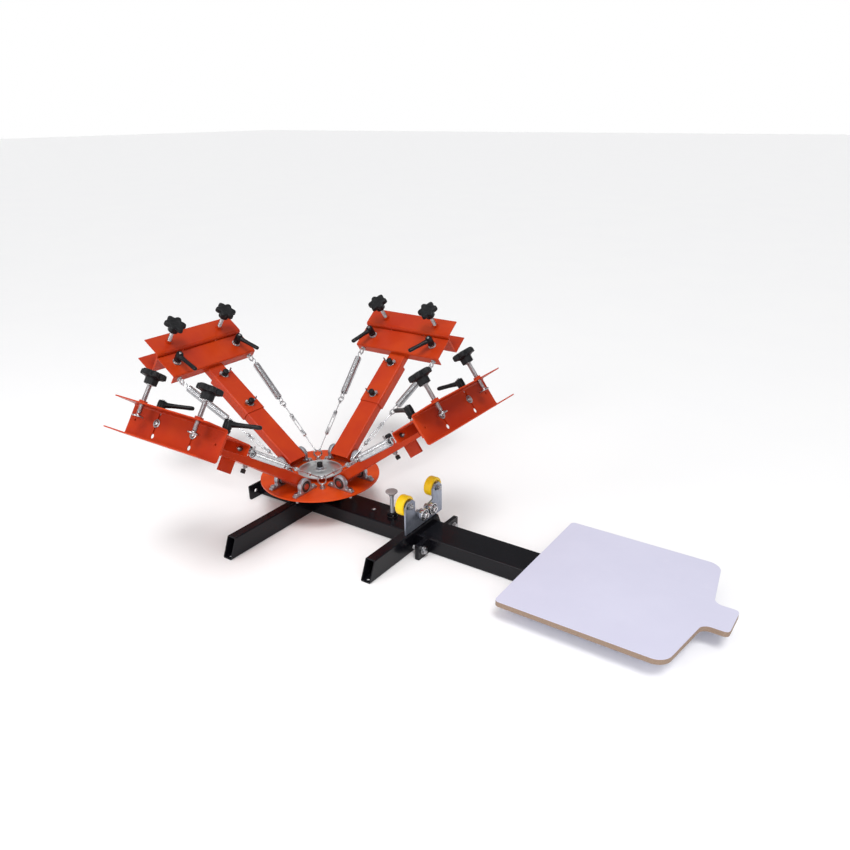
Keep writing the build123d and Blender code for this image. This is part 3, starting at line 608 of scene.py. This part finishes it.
def lever_mesh():
    """The ratchet lever, with its grip along -x and its washer's underside at the origin."""
    shape = Shape()
    shape.ring(13, 4.2, 0.1, 2.2, 0.5, STEEL)
    shape.ring(10.2, 4.2, 2.2, 6.2, 0.7, CHROME)
    hub = [
        (0.1, 6.2), (8.8, 6.2), (9.8, 6.9), (10.4, 9), (10.9, 13), (10.9, 15.4), (10.1, 16), (10.1, 17),
        (10.9, 17.6), (11.2, 24), (11.1, 32), (10.7, 36.5), (9.8, 38.6), (8.4, 39.2), (5.4, 39.2),
        (5.2, 38.2), (0.1, 38.2),
    ]
    shape.lathe(hub, LEVER)
    ribs = 16
    for step in range(ribs):
        at = turn(tau * step / ribs) @ move(10.3, 0, 0)
        shape.disc(1.1, 8.5, 15, 0.4, LEVER, at, steps=8)
    grip = [
        (3, 30.0, 6.0, 7.4), (-6, 30.2, 8.8, 8.0), (-13, 31.3, 8.2, 7.2), (-24, 34.2, 7.0, 6.2),
        (-40, 38.2, 6.7, 5.7), (-54, 41.7, 7.1, 5.7), (-66, 44.7, 7.5, 5.8), (-72, 46.1, 7.1, 5.4),
        (-75, 46.8, 5.4, 4.2), (-76.4, 47.1, 2.4, 1.8),
    ]
    shape.bar(grip, LEVER)
    shape.disc(4.3, 38, 41.6, 0.8, STEEL)
    # A thin dark strip across the screw's top: painted shade standing for its slot.
    shape.plate([(-3.4, -0.5), (3.4, -0.5), (3.4, 0.5), (-3.4, 0.5)], 41.3, 41.8, 0.1, DARK_STEEL_AND_SLOT_SHADE)
    return shape.mesh("lever")


def add_clamps():
    """Every star-knob screw and ratchet lever."""
    first = arm_frame(1)
    screw = clamp_screw_mesh(whole("arm_1_clamp_screw_a", first))
    lever = lever_mesh()
    for number in ARMS:
        axes = arm_frame(number)
        bracket = whole(f"arm_{number}_carriage", axes)
        for letter in "ab":
            node = f"arm_{number}_clamp_screw_{letter}"
            box = whole(node, axes)
            at = axes @ move(box.middle.x, box.middle.y, box.low.z)
            body = f"arm_{number}_clamp_{letter}"
            put(f"star_knob_{number}{letter}", screw, at, body, node)
            joint = JOINTS[f"arm_{number}_lever_{letter}_turn"]
            pivot = (axes.inverted() @ Vector(joint["pos_m"])) / MM
            rest = -radians(sum(joint["range_deg"]) / 2)
            at = axes @ move(pivot.x, pivot.y, bracket.high.z) @ turn(rest)
            node = f"arm_{number}_lever_{letter}"
            body = f"arm_{number}_handle_{letter}"
            put(f"ratchet_lever_{number}{letter}", lever, at, body, node)


# ---- fasteners

def washer(shape, outer, inner, low, high, matrix=None):
    """A plain washer."""
    shape.ring(outer, inner, low, high, (high - low) * 0.3, STEEL, matrix, steps=36)


def eye_ring(shape, radius, wire, matrix=None):
    """A closed wire ring in the xz plane, round the origin."""
    steps = 36
    path = [(radius * cos(tau * k / steps), 0, radius * sin(tau * k / steps)) for k in range(steps)]
    shape.wire(path, wire, STEEL, matrix, closed=True)


DISC_AND_FOOT = 12


def block_bolt_mesh(above, below):
    """A pillow-block bolt with its head's seat at the origin, above and below the block's foot."""
    shape = Shape()
    seat = -DISC_AND_FOOT
    washer(shape, 8.6, 4.2, 0, 1.4)
    shape.hexagon(13, 1.4, above, STEEL)
    shape.thread(4, -below, 0.5, 1.25, STEEL)
    washer(shape, 8.2, 4.2, seat - 1.3, seat)
    shape.hexagon(13, seat - 7.6, seat - 1.3, STEEL, hole=3.9)
    return shape.mesh("block_bolt")


def wing_screw_mesh():
    """A capped clamping stud with two upright wings, its washer's underside at the origin."""
    shape = Shape()
    shape.ring(12.5, 4.4, 0, 2.4, 0.8, CHROME)
    cap = [
        (0.1, 2.4), (8.9, 2.4), (9.4, 3.2), (9.4, 15.5), (9.0, 18.0), (7.4, 19.8), (5.2, 20.3), (4.9, 19.6),
        (0.1, 19.4),
    ]
    shape.lathe(cap, KNOB)
    ribs = 18
    for step in range(ribs):
        shape.disc(0.75, 5, 17, 0.3, KNOB, turn(tau * step / ribs) @ move(8.75, 0, 0), steps=8)
    wing = [
        (8.2, 3.8), (21.0, 3.8), (22.4, 5.4), (22.4, 20.4), (21.2, 22.4), (20.2, 22.4), (19.4, 21.0),
        (19.2, 8.6), (17.8, 7.2), (8.2, 7.2),
    ]
    upright = turn(pi / 2) @ turn(pi / 2, "X")
    for side in (-1, 1):
        outline = [(side * y, z) for y, z in wing[::side]]
        shape.plate(outline, 0.2, 4.8, 0.7, STEEL, upright)
    return shape.mesh("wing_screw")


def stop_bolt_mesh(depth):
    """The off-contact stop with its seat under the tube at the origin: bolt, lock nut and soft tip."""
    shape = Shape()
    washer(shape, 8.6, 4.2, -1.4, 0)
    shape.hexagon(13, -6.6, -1.4, STEEL)
    shape.thread(4, -depth + 10, 8, 1.25, STEEL)
    shape.disc(6.6, -depth, -depth + 11.5, 1.4, RUBBER_AND_SOCKET_SHADE)
    return shape.mesh("stop_bolt")


def hinge_shaft_mesh(box, tube):
    """The hinge shaft along y: red ends, with grey spacer collars either side of the tube."""
    shape = Shape()
    reach = box.size.y / 2
    upright = turn(-pi / 2, "X")
    end = [
        (0.1, -reach), (1.8, -reach), (2.4, -reach + 0.8), (3.2, -reach), (7.6, -reach), (8.5, -reach + 0.9),
    ]
    other = [(radius, -height) for radius, height in reversed(end)]
    shape.lathe(end + other, SHAFT_END, upright)
    inner = tube.size.y / 2 - 3 + 0.15
    for side in (-1, 1):
        low, high = sorted((side * inner, side * (inner + 4.3)))
        shape.ring(12, 8.3, low, high, 0.5, CAST, upright)
    return shape.mesh("hinge_shaft")


def eye_bolt_mesh(stem):
    """A carriage eye with the ring's middle at the origin and its stem along x."""
    shape = Shape()
    eye_ring(shape, 8.5, 2.5)
    shape.disc(3.6, 8.8, 13.4, 0.6, STEEL, ALONG_X)
    washer(shape, 8, 3.2, 12.0, 13.45, ALONG_X)
    shape.thread(3, 10, stem, 1.0, STEEL, ALONG_X)
    shape.hexagon(11, 16.6, 22.4, DARK_STEEL_AND_SLOT_SHADE, ALONG_X)
    return shape.mesh("eye_bolt")


def slot_bolt_mesh(back):
    """A slot bolt with its washer's seat at the origin and its head towards x."""
    shape = Shape()
    washer(shape, 11, 3.4, 0.1, 1.6, ALONG_X)
    head = [
        (0.1, 1.6), (7.2, 1.6), (7.5, 2.2), (7.3, 3.2), (6.4, 4.4), (4.8, 5.1), (3.0, 5.3), (2.6, 3.4),
        (0.1, 3.2),
    ]
    shape.lathe(head, STEEL, ALONG_X)
    shape.thread(3.1, -back, 1.8, 1.0, STEEL, ALONG_X)
    shape.hexagon(11, -back + 2.5, -back + 8, STEEL, ALONG_X)
    return shape.mesh("slot_bolt")


STOP_SEAT_Z = -4.0
EYE_STEM = 28.5
EYE_OFFSET = 11
SLOT_STEM = 14.3
SLOT_HEAD = 5.5
OUTER_BOLT = 100


def add_arm_fasteners():
    """The hinge shaft, stop bolt, wing screws, spring eyes and slot bolts of every arm."""
    first = arm_frame(1)
    tube = whole("arm_1_tube", first)
    hardware = solids("arm_1_hardware", first)
    shaft = hinge_shaft_mesh(max(hardware, key=lambda box: box.size.y), tube)
    lowest = min(hardware, key=lambda box: box.low.z)
    stop = stop_bolt_mesh(STOP_SEAT_Z - lowest.low.z)
    wing = wing_screw_mesh()
    eye = eye_bolt_mesh(EYE_STEM)
    slot_bolt = slot_bolt_mesh(SLOT_STEM)
    for number in ARMS:
        axes = arm_frame(number)
        body = f"arm_{number}"
        pieces = solids(f"{body}_hardware", axes)
        put(f"hinge_shaft_{number}", shaft, axes, body, f"{body}_hardware")
        spot = min(pieces, key=lambda box: box.low.z).middle
        put(f"stop_bolt_{number}", stop, axes @ move(spot.x, spot.y, STOP_SEAT_Z), body)
        screws = [box for box in pieces if box.low.z > 0]
        for index, box in enumerate(sorted(screws, key=lambda box: box.low.x)):
            at = axes @ move(box.middle.x, box.middle.y, tube.high.z)
            put(f"wing_screw_{number}_{index}", wing, at, body)
        slide = f"{body}_slide"
        for index, box in enumerate(solids(f"{body}_carriage_bolts", axes)):
            if abs(box.middle.y) > OUTER_BOLT:
                at = axes @ move(box.low.x + EYE_OFFSET, box.middle.y, box.middle.z)
                put(f"spring_eye_{number}_{index}", eye, at, slide, f"{body}_carriage_bolts")
            else:
                at = axes @ move(box.high.x - SLOT_HEAD, box.middle.y, box.middle.z)
                put(f"slot_bolt_{number}_{index}", slot_bolt, at, slide)


# ---- turntable

def pillow_block_mesh(box):
    """A cast pillow block with the shaft's axis along y through the origin and its foot below."""
    radius = 23.0
    base = -(box.size.z - radius)
    reach = box.size.x / 2
    foot = base + 7
    flank = [(reach, base + 1.2), (reach, foot - 1.5), (reach - 1.5, foot), (radius + 5, foot)]
    flank += [(radius + 1.6, foot + 1.2), (radius + 0.1, foot + 3.6), (radius - 0.7, foot + 6.6)]
    ring = arc((0, 0), radius, -12, 192, 34)
    mirrored = [(-x, y) for x, y in reversed(flank)]
    outline = [(reach - 1.2, base)] + flank + ring + mirrored + [(-reach + 1.2, base)]
    half = box.size.y / 2
    upright = turn(pi / 2, "X")
    shape = Shape()
    shape.plate(outline, -half, half, 1.3, CAST, upright)
    shape.ring(19.3, 17.3, half - 0.4, half + 0.7, 0.3, CAST, upright)
    shape.ring(17.0, 9.2, half - 2, half + 0.35, 0.4, SEAL, upright)
    shape.ring(12.0, 8.7, half - 2, half + 1.4, 0.5, DARK_STEEL_AND_SLOT_SHADE, upright)
    shape.ring(17.0, 9.2, -half - 0.2, -half + 2, 0.1, SEAL, upright)
    for side in (-1, 1):
        shape.ring(7.6, 4.4, foot - 0.3, foot + 0.25, 0.1, CAST, move(side * 35, 0, 0))
    return shape.mesh("pillow_block")


POST_RING_R = 12
POST_WIRE_R = 2.6


def spring_post_mesh(below):
    """An eye bolt standing in the disc, with the ring's middle at the origin and its hole along y."""
    shape = Shape()
    eye_ring(shape, POST_RING_R, POST_WIRE_R)
    collar = -25.0
    shape.disc(4.6, collar + 5.5, -13.4, 0.8, STEEL)
    shape.hexagon(13, collar + 1.4, collar + 7, STEEL)
    washer(shape, 8.6, 4.2, collar, collar + 1.4)
    shape.thread(4, -below, collar + 2, 1.25, STEEL)
    under = collar - 5
    washer(shape, 8.2, 4.2, under - 1.3, under)
    shape.hexagon(13, under - 7.6, under - 1.3, STEEL, hole=3.9)
    return shape.mesh("spring_post")


def hub_mesh(box):
    """The hub's column and its broad turned cover, from the disc's top."""
    radius = box.size.x / 2
    top = box.size.z
    cover = top - 4
    shape = Shape()
    profile = [
        (0.1, 0), (28.8, 0), (30, 1.2), (30, cover - 2.5), (31, cover), (radius - 1.4, cover),
        (radius - 0.3, cover + 0.4),
        (radius, cover + 1.4), (radius, top - 1.8), (radius - 0.5, top - 0.8), (radius - 1.8, top - 0.25),
        (radius - 4, top - 0.2), (radius - 4.6, top - 0.7), (radius - 6.2, top - 0.7),
        (radius - 6.8, top - 0.2),
        (24, top - 0.05), (17, top), (16.4, top + 0.5), (12, top + 0.6), (0.1, top + 0.6),
    ]
    shape.lathe(profile, HUB, steps=96)
    return shape.mesh("hub")


def hub_cap_mesh(box):
    """The centre bolt's grey collar and its tall black cap."""
    radius = box.size.x / 2 - 2
    top = box.size.z
    shape = Shape()
    washer(shape, radius + 4.5, 4, 0.5, 2.2)
    shape.hexagon(2 * radius + 2.5, 2.2, 7.5, CAST)
    profile = [
        (0.1, 7), (radius - 0.6, 7), (radius, 7.7), (radius, 9.2), (radius - 0.4, 9.8),
        (radius - 0.5, top - 2.6),
        (radius - 1.2, top - 1), (radius - 2.8, top - 0.2), (radius - 4.6, top), (0.1, top),
    ]
    shape.lathe(profile, KNOB)
    return shape.mesh("hub_cap")


NEAR_PIVOT = 20
BLOCK_FOOT_H = 7


def add_turntable():
    """The hub, pillow blocks, their bolts and the spring posts."""
    box = whole("hub")
    put("hub_cover", hub_mesh(box), move(box.middle.x, box.middle.y, box.low.z), "turntable", "hub")
    box = whole("hub_cap")
    at = move(box.middle.x, box.middle.y, box.low.z)
    put("hub_cap_nut", hub_cap_mesh(box), at, "turntable", "hub_cap")
    pivot = Vector(JOINTS["arm_1_lift"]["pos_m"]) / MM
    block = None
    for number in ARMS:
        axes = flat_frame(number)
        for box in solids("pillow_blocks", axes):
            if abs(box.middle.x - pivot.x) > NEAR_PIVOT:
                continue
            block = block or pillow_block_mesh(box)
            away = turn(pi) if box.middle.y > 0 else Matrix()
            at = axes @ move(pivot.x, box.middle.y, pivot.z) @ away
            name = f"pillow_block_{number}{'ab'[box.middle.y > 0]}"
            put(name, block, at, "turntable", "pillow_blocks")
    foot_top = whole("disc").high.z + BLOCK_FOOT_H
    bolts = solids("block_bolts")
    bolt = block_bolt_mesh(bolts[0].high.z - foot_top, foot_top - bolts[0].low.z)
    for index, box in enumerate(bolts):
        at = move(box.middle.x, box.middle.y, foot_top) @ turn(0.7 * index)
        put(f"block_bolt_{index}", bolt, at, "turntable", "block_bolts")
    posts = solids("spring_posts")
    ring_z = posts[0].high.z - POST_RING_R - POST_WIRE_R
    post = spring_post_mesh(ring_z - posts[0].low.z)
    for index, box in enumerate(posts):
        outward = turn(atan2(box.middle.y, box.middle.x) - pi / 2)
        at = move(box.middle.x, box.middle.y, ring_z) @ outward
        put(f"spring_post_{index}", post, at, "turntable", "spring_posts")


# ---- springs

HOOK_R = 9
COIL_R = 9.8
COIL_WIRE_R = 1.6
ROD_R = 1.6
NUT_H = 9


def spring_path(start, end, coil, wire):
    """The centre line of an extension spring with a round hook at each end, along z."""
    hook = HOOK_R
    path = []
    steps = 14
    for k in range(steps + 1):
        angle = radians(-60 + 290 * k / steps)
        path.append((hook * sin(angle), 0, start - hook - 2 - hook * cos(angle)))
    turns = int((end - start) / (2.1 * wire))
    per_turn = 14
    total = turns * per_turn
    for k in range(total + 1):
        angle = tau * k / per_turn
        lead = min(k, total - k) / per_turn
        reach = coil * min(1, 0.45 + 0.55 * lead)
        path.append((reach * cos(angle), reach * sin(angle), start + (end - start) * k / total))
    for k in range(steps + 1):
        angle = radians(130 - 290 * k / steps)
        path.append((hook * sin(angle), 0, end + hook + 2 + hook * cos(angle)))
    return path


def spring_line_mesh(length, post):
    """One spring line along z: link ring, spring, ring, rod, turnbuckle, rod and the hook on the post."""
    shape = Shape()
    sideways = turn(pi / 2)
    first, last = 0.035 * length, 0.43 * length
    shape.wire(spring_path(first, last, COIL_R, COIL_WIRE_R), COIL_WIRE_R, WIRE, sideways, sides=8)
    link = last + 24
    eye_ring(shape, HOOK_R, 2.0, move(0, 0, link))
    rod_start = link + HOOK_R
    eye_ring(shape, 4.6, 1.7, move(0, 0, rod_start + 1.5) @ sideways)
    low, high = 0.62 * length, 0.845 * length
    shape.wire([(0, 0, rod_start + 6.1), (0, 0, low + 22)], 1.7, WIRE, sides=12)
    shape.thread(2.2, low - 6, low + 24, 1.2, STEEL)
    shape.thread(2.2, high - 24, high + 6, 1.2, STEEL)
    for at in (low, high - NUT_H):
        shape.hexagon(11, at, at + NUT_H, STEEL)
    for side in (-1, 1):
        rail = [
            (side * 4.6, 0, low + 4), (side * 5.6, 0, low + 14),
            (side * 5.6, 0, high - 14), (side * 4.6, 0, high - 4),
        ]
        shape.wire(smooth(rail, 6), 1.5, STEEL)
    run = [(0, 0, high + (length - 6 - high) * step / 12) for step in range(13)]
    shape.wire(run + [tuple(post[0])], ROD_R, WIRE, sides=12)
    shape.wire(post, ROD_R, WIRE, closed=True)
    return shape


def post_hook(axes, middle, outward, end, radius):
    """The round hook about the post's wire, as points in the spring line's own axes."""
    offset = end - middle
    offset -= outward * offset.dot(outward)
    across = offset.normalized()
    centre = middle + across * POST_RING_R
    steps = 24
    points = []
    for k in range(steps):
        angle = tau * k / steps
        spot = centre + (across * cos(angle) + outward * sin(angle)) * radius
        points.append((axes.inverted() @ (spot * MM)) / MM)
    nearest = min(range(steps), key=lambda k: points[k].length)
    return points[nearest:] + points[:nearest]


def add_springs():
    """The eight spring lines, each set between the turntable and its arm at rest."""
    posts = solids("spring_posts")
    for number in ARMS:
        axes = arm_frame(number)
        level = axes.to_quaternion() @ Vector((0, 0, 1))
        bolts = solids(f"arm_{number}_carriage_bolts", axes)
        eyes = [box for box in bolts if abs(box.middle.y) > OUTER_BOLT]
        for index, eye in enumerate(eyes):
            start = axes @ (Vector((eye.low.x - 2, eye.middle.y, eye.middle.z)) * MM) / MM
            near = min(posts, key=lambda box: (box.middle - start).length)
            middle = Vector((near.middle.x, near.middle.y, near.high.z - POST_RING_R - POST_WIRE_R))
            outward = Vector((middle.x, middle.y, 0)).normalized()
            arm_way = flat_frame(number).to_quaternion() @ Vector((1, 0, 0))
            tangent = (arm_way - outward * arm_way.dot(outward)).normalized()
            end = middle + tangent * 7.8 + outward * 2.1 + Vector((0, 0, POST_RING_R))
            line = (end - start).normalized()
            side = level.cross(line).normalized()
            place_at = Matrix((side, line.cross(side), line)).transposed().to_4x4()
            place_at.translation = start * MM
            hook = post_hook(place_at, middle, outward, end, 5.0)
            name = f"spring_line_{number}_{index}"
            mesh = spring_line_mesh((end - start).length, hook).mesh(name)
            piece = bpy.data.objects.new(name, mesh)
            bpy.context.scene.collection.objects.link(piece)
            piece.matrix_world = place_at
            bpy.context.view_layer.update()
            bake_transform(piece)
            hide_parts(f"arm_{number}_springs")


# ---- gate and base

def roller_mesh(box):
    """A guide roller with its axis along x through the origin: tyre, recessed web and ball bearing."""
    half = box.size.x / 2
    radius = box.size.y / 2
    shape = Shape()
    face = [
        (17.6, half - 5), (18.6, half - 4.6), (20.4, half - 0.9), (21.4, half), (radius - 3.6, half),
        (radius - 1.6, half - 0.5), (radius - 0.5, half - 1.6), (radius, half - 3.4), (radius, half * 0.45),
    ]
    crown = [(radius, 0)]
    shape.lathe(face + crown + [(r, -h) for r, h in reversed(face)], URETHANE, ALONG_X, steps=72, closed=True)
    # The recessed web takes the darker copy of the urethane, painted shade in the recess.
    shape.ring(18.2, 14.5, -half + 4, half - 4, 0.6, URETHANE_SHADED, ALONG_X)
    shape.ring(15.2, 12.6, -half + 2.6, half - 2.6, 0.5, STEEL, ALONG_X)
    shape.ring(13.2, 10.8, -half + 3.6, half - 3.6, 0.3, SEAL, ALONG_X)
    shape.ring(11.4, 8.1, -half + 0.2, half - 0.2, 0.5, STEEL, ALONG_X)
    return shape.mesh("guide_roller")


def bearing_mesh(box):
    """A ball bearing with its axis along x through the origin."""
    half = box.size.x / 2
    radius = box.size.y / 2
    shape = Shape()
    shape.ring(radius, radius - 3.6, -half, half, 0.8, CHROME, ALONG_X, steps=64)
    shape.ring(radius - 3.2, 10.4, -half + 0.9, half - 0.9, 0.3, SEAL, ALONG_X)
    shape.ring(10.9, 7.6, -half, half, 0.5, CHROME, ALONG_X)
    return shape.mesh("gate_bearing")


def roller_axle_mesh(back):
    """A roller's shouldered bolt, with its washer's seat on the gate at the origin and its nut to x."""
    shape = Shape()
    washer(shape, 9, 4.2, 0, 1.6, ALONG_X)
    shape.hexagon(13, 1.6, 8, STEEL, ALONG_X, hole=3.9)
    shape.thread(4, -5.2, 12, 1.25, STEEL, ALONG_X)
    shape.disc(8, -back + 6, -5.05, 0.5, STEEL, ALONG_X)
    shape.hexagon(22, -back, -back + 6, STEEL, ALONG_X)
    return shape.mesh("roller_axle")


def bearing_bolt_mesh(reach, back):
    """A bearing's socket-headed bolt, with its spacer's seat on the gate at the origin."""
    shape = Shape()
    shape.disc(10.5, 0, 6.6, 0.6, STEEL, ALONG_X)
    shape.disc(7.5, 6.4, reach - 6.8, 0.3, STEEL, ALONG_X)
    low = reach - 7
    head = [
        (0.1, low), (9.2, low), (9.5, low + 0.5), (9.5, reach - 1.2), (8.6, reach), (4.8, reach),
        (4.4, reach - 0.5),
    ]
    shape.lathe(head + [(4.2, reach - 4), (0.1, reach - 4)], CHROME, ALONG_X)
    # A thin black hexagon at the bottom of the recess: painted shade inside the hex socket.
    shape.hexagon(7.4, reach - 4.2, reach - 3.6, RUBBER_AND_SOCKET_SHADE, ALONG_X)
    grips = 30
    for k in range(grips):
        at = ALONG_X @ turn(tau * k / grips) @ move(9.45, 0, 0)
        shape.disc(0.42, low + 0.8, reach - 1.6, 0.15, CHROME, at, steps=6)
    shape.hexagon(19, -5 - 7, -5, STEEL, ALONG_X)
    shape.thread(6, -back, -5, 1.5, STEEL, ALONG_X)
    return shape.mesh("bearing_bolt")


ROLLER_BOLTS_Z = 120


def add_gate():
    """The rollers, bearings and bolts of the registration gate."""
    kinds = ("roller", roller_mesh, "roller_yellow"), ("bearing", bearing_mesh, "bright_steel")
    for side in ("near", "far"):
        for kind, make, slot in kinds:
            node = f"{kind}_{side}"
            box = whole(node)
            at = move(box.middle.x, box.middle.y, box.middle.z)
            put(f"{node}_turned", make(box), at, node, node)
    front = whole("gate_plate").high.x
    for index, box in enumerate(solids("gate_bolts")):
        at = move(front, box.middle.y, box.middle.z)
        if box.middle.z > ROLLER_BOLTS_Z:
            mesh = roller_axle_mesh(front - box.low.x)
        else:
            mesh = bearing_bolt_mesh(box.high.x - front, front - box.low.x)
        put(f"gate_bolt_{index}", mesh, at, "base", "gate_bolts")


def rest_screw_mesh(height):
    """The rest screw with its flat head's top at the origin."""
    shape = Shape()
    head = [
        (0.1, -14), (7.4, -14), (8.4, -13), (12.5, -8.8), (16.6, -5.2), (17.5, -4.2), (17.5, -1.6),
        (16.9, -0.5), (15.6, 0), (0.1, 0),
    ]
    shape.lathe(head, GRIP, steps=64)
    shape.disc(7.2, -19, -13.6, 0.8, CAST)
    shape.thread(6, -height, -18.5, 1.75, CAST)
    return shape.mesh("rest_screw_turned")


def joint_bolt_mesh(reach, back):
    """A flange bolt along x with its nut's seat at the origin, its head ahead and its tip behind."""
    shape = Shape()
    grip = 12.0
    washer(shape, 12, 6.2, grip, grip + 2.4, ALONG_X)
    shape.hexagon(19, grip + 2.4, reach, STEEL, ALONG_X)
    shape.hexagon(19, -10, 0, STEEL, ALONG_X, hole=5.9)
    shape.thread(6, -back, -1, 1.75, STEEL, ALONG_X)
    return shape.mesh("joint_bolt")


def rest_nut_mesh(height):
    """The clamp nut round the rest screw, with a small side screw."""
    shape = Shape()
    shape.ring(15.4, 6.6, 0, 1.6, 0.4, DARK_STEEL_AND_SLOT_SHADE)
    shape.hexagon(28, 1.6, height, BLACK, hole=6.7)
    side = turn(-pi / 4) @ move(0, 0, height / 2) @ ALONG_X
    shape.disc(2.6, 13, 16.4, 0.5, STEEL, side, steps=16)
    return shape.mesh("rest_nut")


def lock_screw_mesh():
    """A small round-headed screw on a dark washer."""
    shape = Shape()
    shape.ring(7, 2.4, 0, 1.2, 0.3, DARK_STEEL_AND_SLOT_SHADE)
    shape.lathe([(0.1, 1.2), (4.2, 1.2), (4.4, 1.8), (3.6, 3.2), (2.0, 3.9), (0.1, 4)], CHROME)
    return shape.mesh("lock_screw")


FLANGE = 6


def add_base_fasteners():
    """The rest screw, its nut, the small lock screw and the flange bolts."""
    box = whole("rest_screw")
    screw = rest_screw_mesh(box.size.z)
    at = move(box.middle.x, box.middle.y, box.high.z)
    put("rest_screw_turned", screw, at, "rest_screw", "rest_screw")
    for index, box in enumerate(sorted(solids("beam_fasteners"), key=lambda box: box.low.x)):
        if box.size.x > box.size.z and abs(box.middle.y) > 20:
            seat = whole("beam").high.x - FLANGE
            mesh = joint_bolt_mesh(box.high.x - seat, seat - box.low.x)
            at = move(seat, box.middle.y, box.middle.z)
        else:
            mesh = rest_nut_mesh(box.size.z) if box.size.z > 8 else lock_screw_mesh()
            at = move(box.middle.x, box.middle.y, box.low.z)
        put(f"base_fastener_{index}", mesh, at, "base", "beam_fasteners")


# ---- studio

CAMERA_PLACE_M = (1.4291, -1.5123, 1.0986)
CAMERA_YAW = 33.89
CAMERA_PITCH = 27.05
CAMERA_ROLL = -0.49
CAMERA_LENS = 31.46
CAMERA_SHIFT = (-0.0089, 0.0768)
FLOOR_HALF_M = 40.0
SKY = ((0.0, 1.0), (0.15, 1.0), (0.24, 0.2), (0.6, 0.22), (0.85, 0.85), (1.0, 0.9))
SKY_STRENGTH = 1.0
SUN_POWER = 1.5
SUN_WIDTH = 24
SUN_YAW = 44
SUN_TILT = 26
LIGHT_M = 1.2


def add_camera():
    """The camera, a little over two metres off and above the board's near corner."""
    data = bpy.data.cameras.new("camera")
    data.lens = CAMERA_LENS
    data.sensor_width = 36
    data.shift_x, data.shift_y = CAMERA_SHIFT
    camera = bpy.data.objects.new("camera", data)
    upward = turn(radians(CAMERA_YAW)) @ turn(radians(90 - CAMERA_PITCH), "X") @ turn(radians(CAMERA_ROLL))
    camera.matrix_world = Matrix.Translation(CAMERA_PLACE_M) @ upward
    bpy.context.scene.collection.objects.link(camera)
    bpy.context.scene.camera = camera


def add_light(name, place, target, power, shade):
    """A soft square light, aimed at a point. Places are in metres."""
    data = bpy.data.lights.new(name, "AREA")
    data.shape = "SQUARE"
    data.size = LIGHT_M
    data.energy = power
    data.color = shade
    light = bpy.data.objects.new(name, data)
    aim = (Vector(target) - Vector(place)).to_track_quat("-Z", "Y")
    light.matrix_world = Matrix.Translation(place) @ aim.to_matrix().to_4x4()
    bpy.context.scene.collection.objects.link(light)


def add_sky():
    """A studio surround that lights from the horizon and overhead, in front of a plain white backdrop."""
    world = bpy.data.worlds.new("studio")
    world.use_nodes = True
    tree = world.node_tree
    place = tree.nodes.new("ShaderNodeTexCoord")
    parts = tree.nodes.new("ShaderNodeSeparateXYZ")
    ramp = tree.nodes.new("ShaderNodeValToRGB")
    stops = ramp.color_ramp.elements
    for stop, (height, level) in zip((stops[0], stops[1]), SKY[:2]):
        stop.position = height
        stop.color = (level, level, level, 1)
    for height, level in SKY[2:]:
        stops.new(height).color = (level, level, level, 1)
    background = tree.nodes["Background"]
    background.inputs["Strength"].default_value = SKY_STRENGTH
    tree.links.new(place.outputs["Generated"], parts.inputs[0])
    tree.links.new(parts.outputs["Z"], ramp.inputs["Fac"])
    seen = tree.nodes.new("ShaderNodeLightPath").outputs["Is Camera Ray"]
    backdrop = tree.nodes.new("ShaderNodeMix")
    backdrop.data_type = "RGBA"
    backdrop.inputs[7].default_value = (1, 1, 1, 1)
    tree.links.new(seen, backdrop.inputs[0])
    tree.links.new(ramp.outputs["Color"], backdrop.inputs[6])
    tree.links.new(backdrop.outputs[2], background.inputs["Color"])
    bpy.context.scene.world = world


def add_studio():
    """A pale floor, the banded sky, a broad soft sun and two soft square lights low at the front."""
    mesh = bpy.data.meshes.new("floor")
    half = FLOOR_HALF_M
    corners = [(-half, -half, 0), (half, -half, 0), (half, half, 0), (-half, half, 0)]
    mesh.from_pydata(corners, [], [(0, 1, 2, 3)])
    finish = Finish("floor", (0.94, 0.94, 0.945), 0.7, shine=0.1)
    finish.cloud(2, 4, 0.3, 0.7, (0.93, 0.93, 0.94))
    mesh.materials.append(finish.done())
    floor = bpy.data.objects.new("floor", mesh)
    floor.location.z = -0.0005
    bpy.context.scene.collection.objects.link(floor)
    add_sky()
    data = bpy.data.lights.new("sun", "SUN")
    data.energy = SUN_POWER
    data.angle = radians(SUN_WIDTH)
    sun = bpy.data.objects.new("sun", data)
    sun.matrix_world = turn(radians(SUN_YAW)) @ turn(radians(SUN_TILT), "X")
    bpy.context.scene.collection.objects.link(sun)
    add_light("front", (2.4, -2.0, 1.6), (0.1, 0, 0.25), 20, (1.0, 0.985, 0.96))
    add_light("side", (-0.5, -2.4, 1.6), (0, 0, 0.3), 21, (1.0, 0.99, 0.98))
    view = bpy.context.scene.view_settings
    view.view_transform = "Standard"
    view.look = "None"


dress_all()
add_clamps()
add_arm_fasteners()
add_turntable()
add_springs()
add_gate()
add_base_fasteners()
add_camera()
add_studio()

bpy.context.view_layer.update()
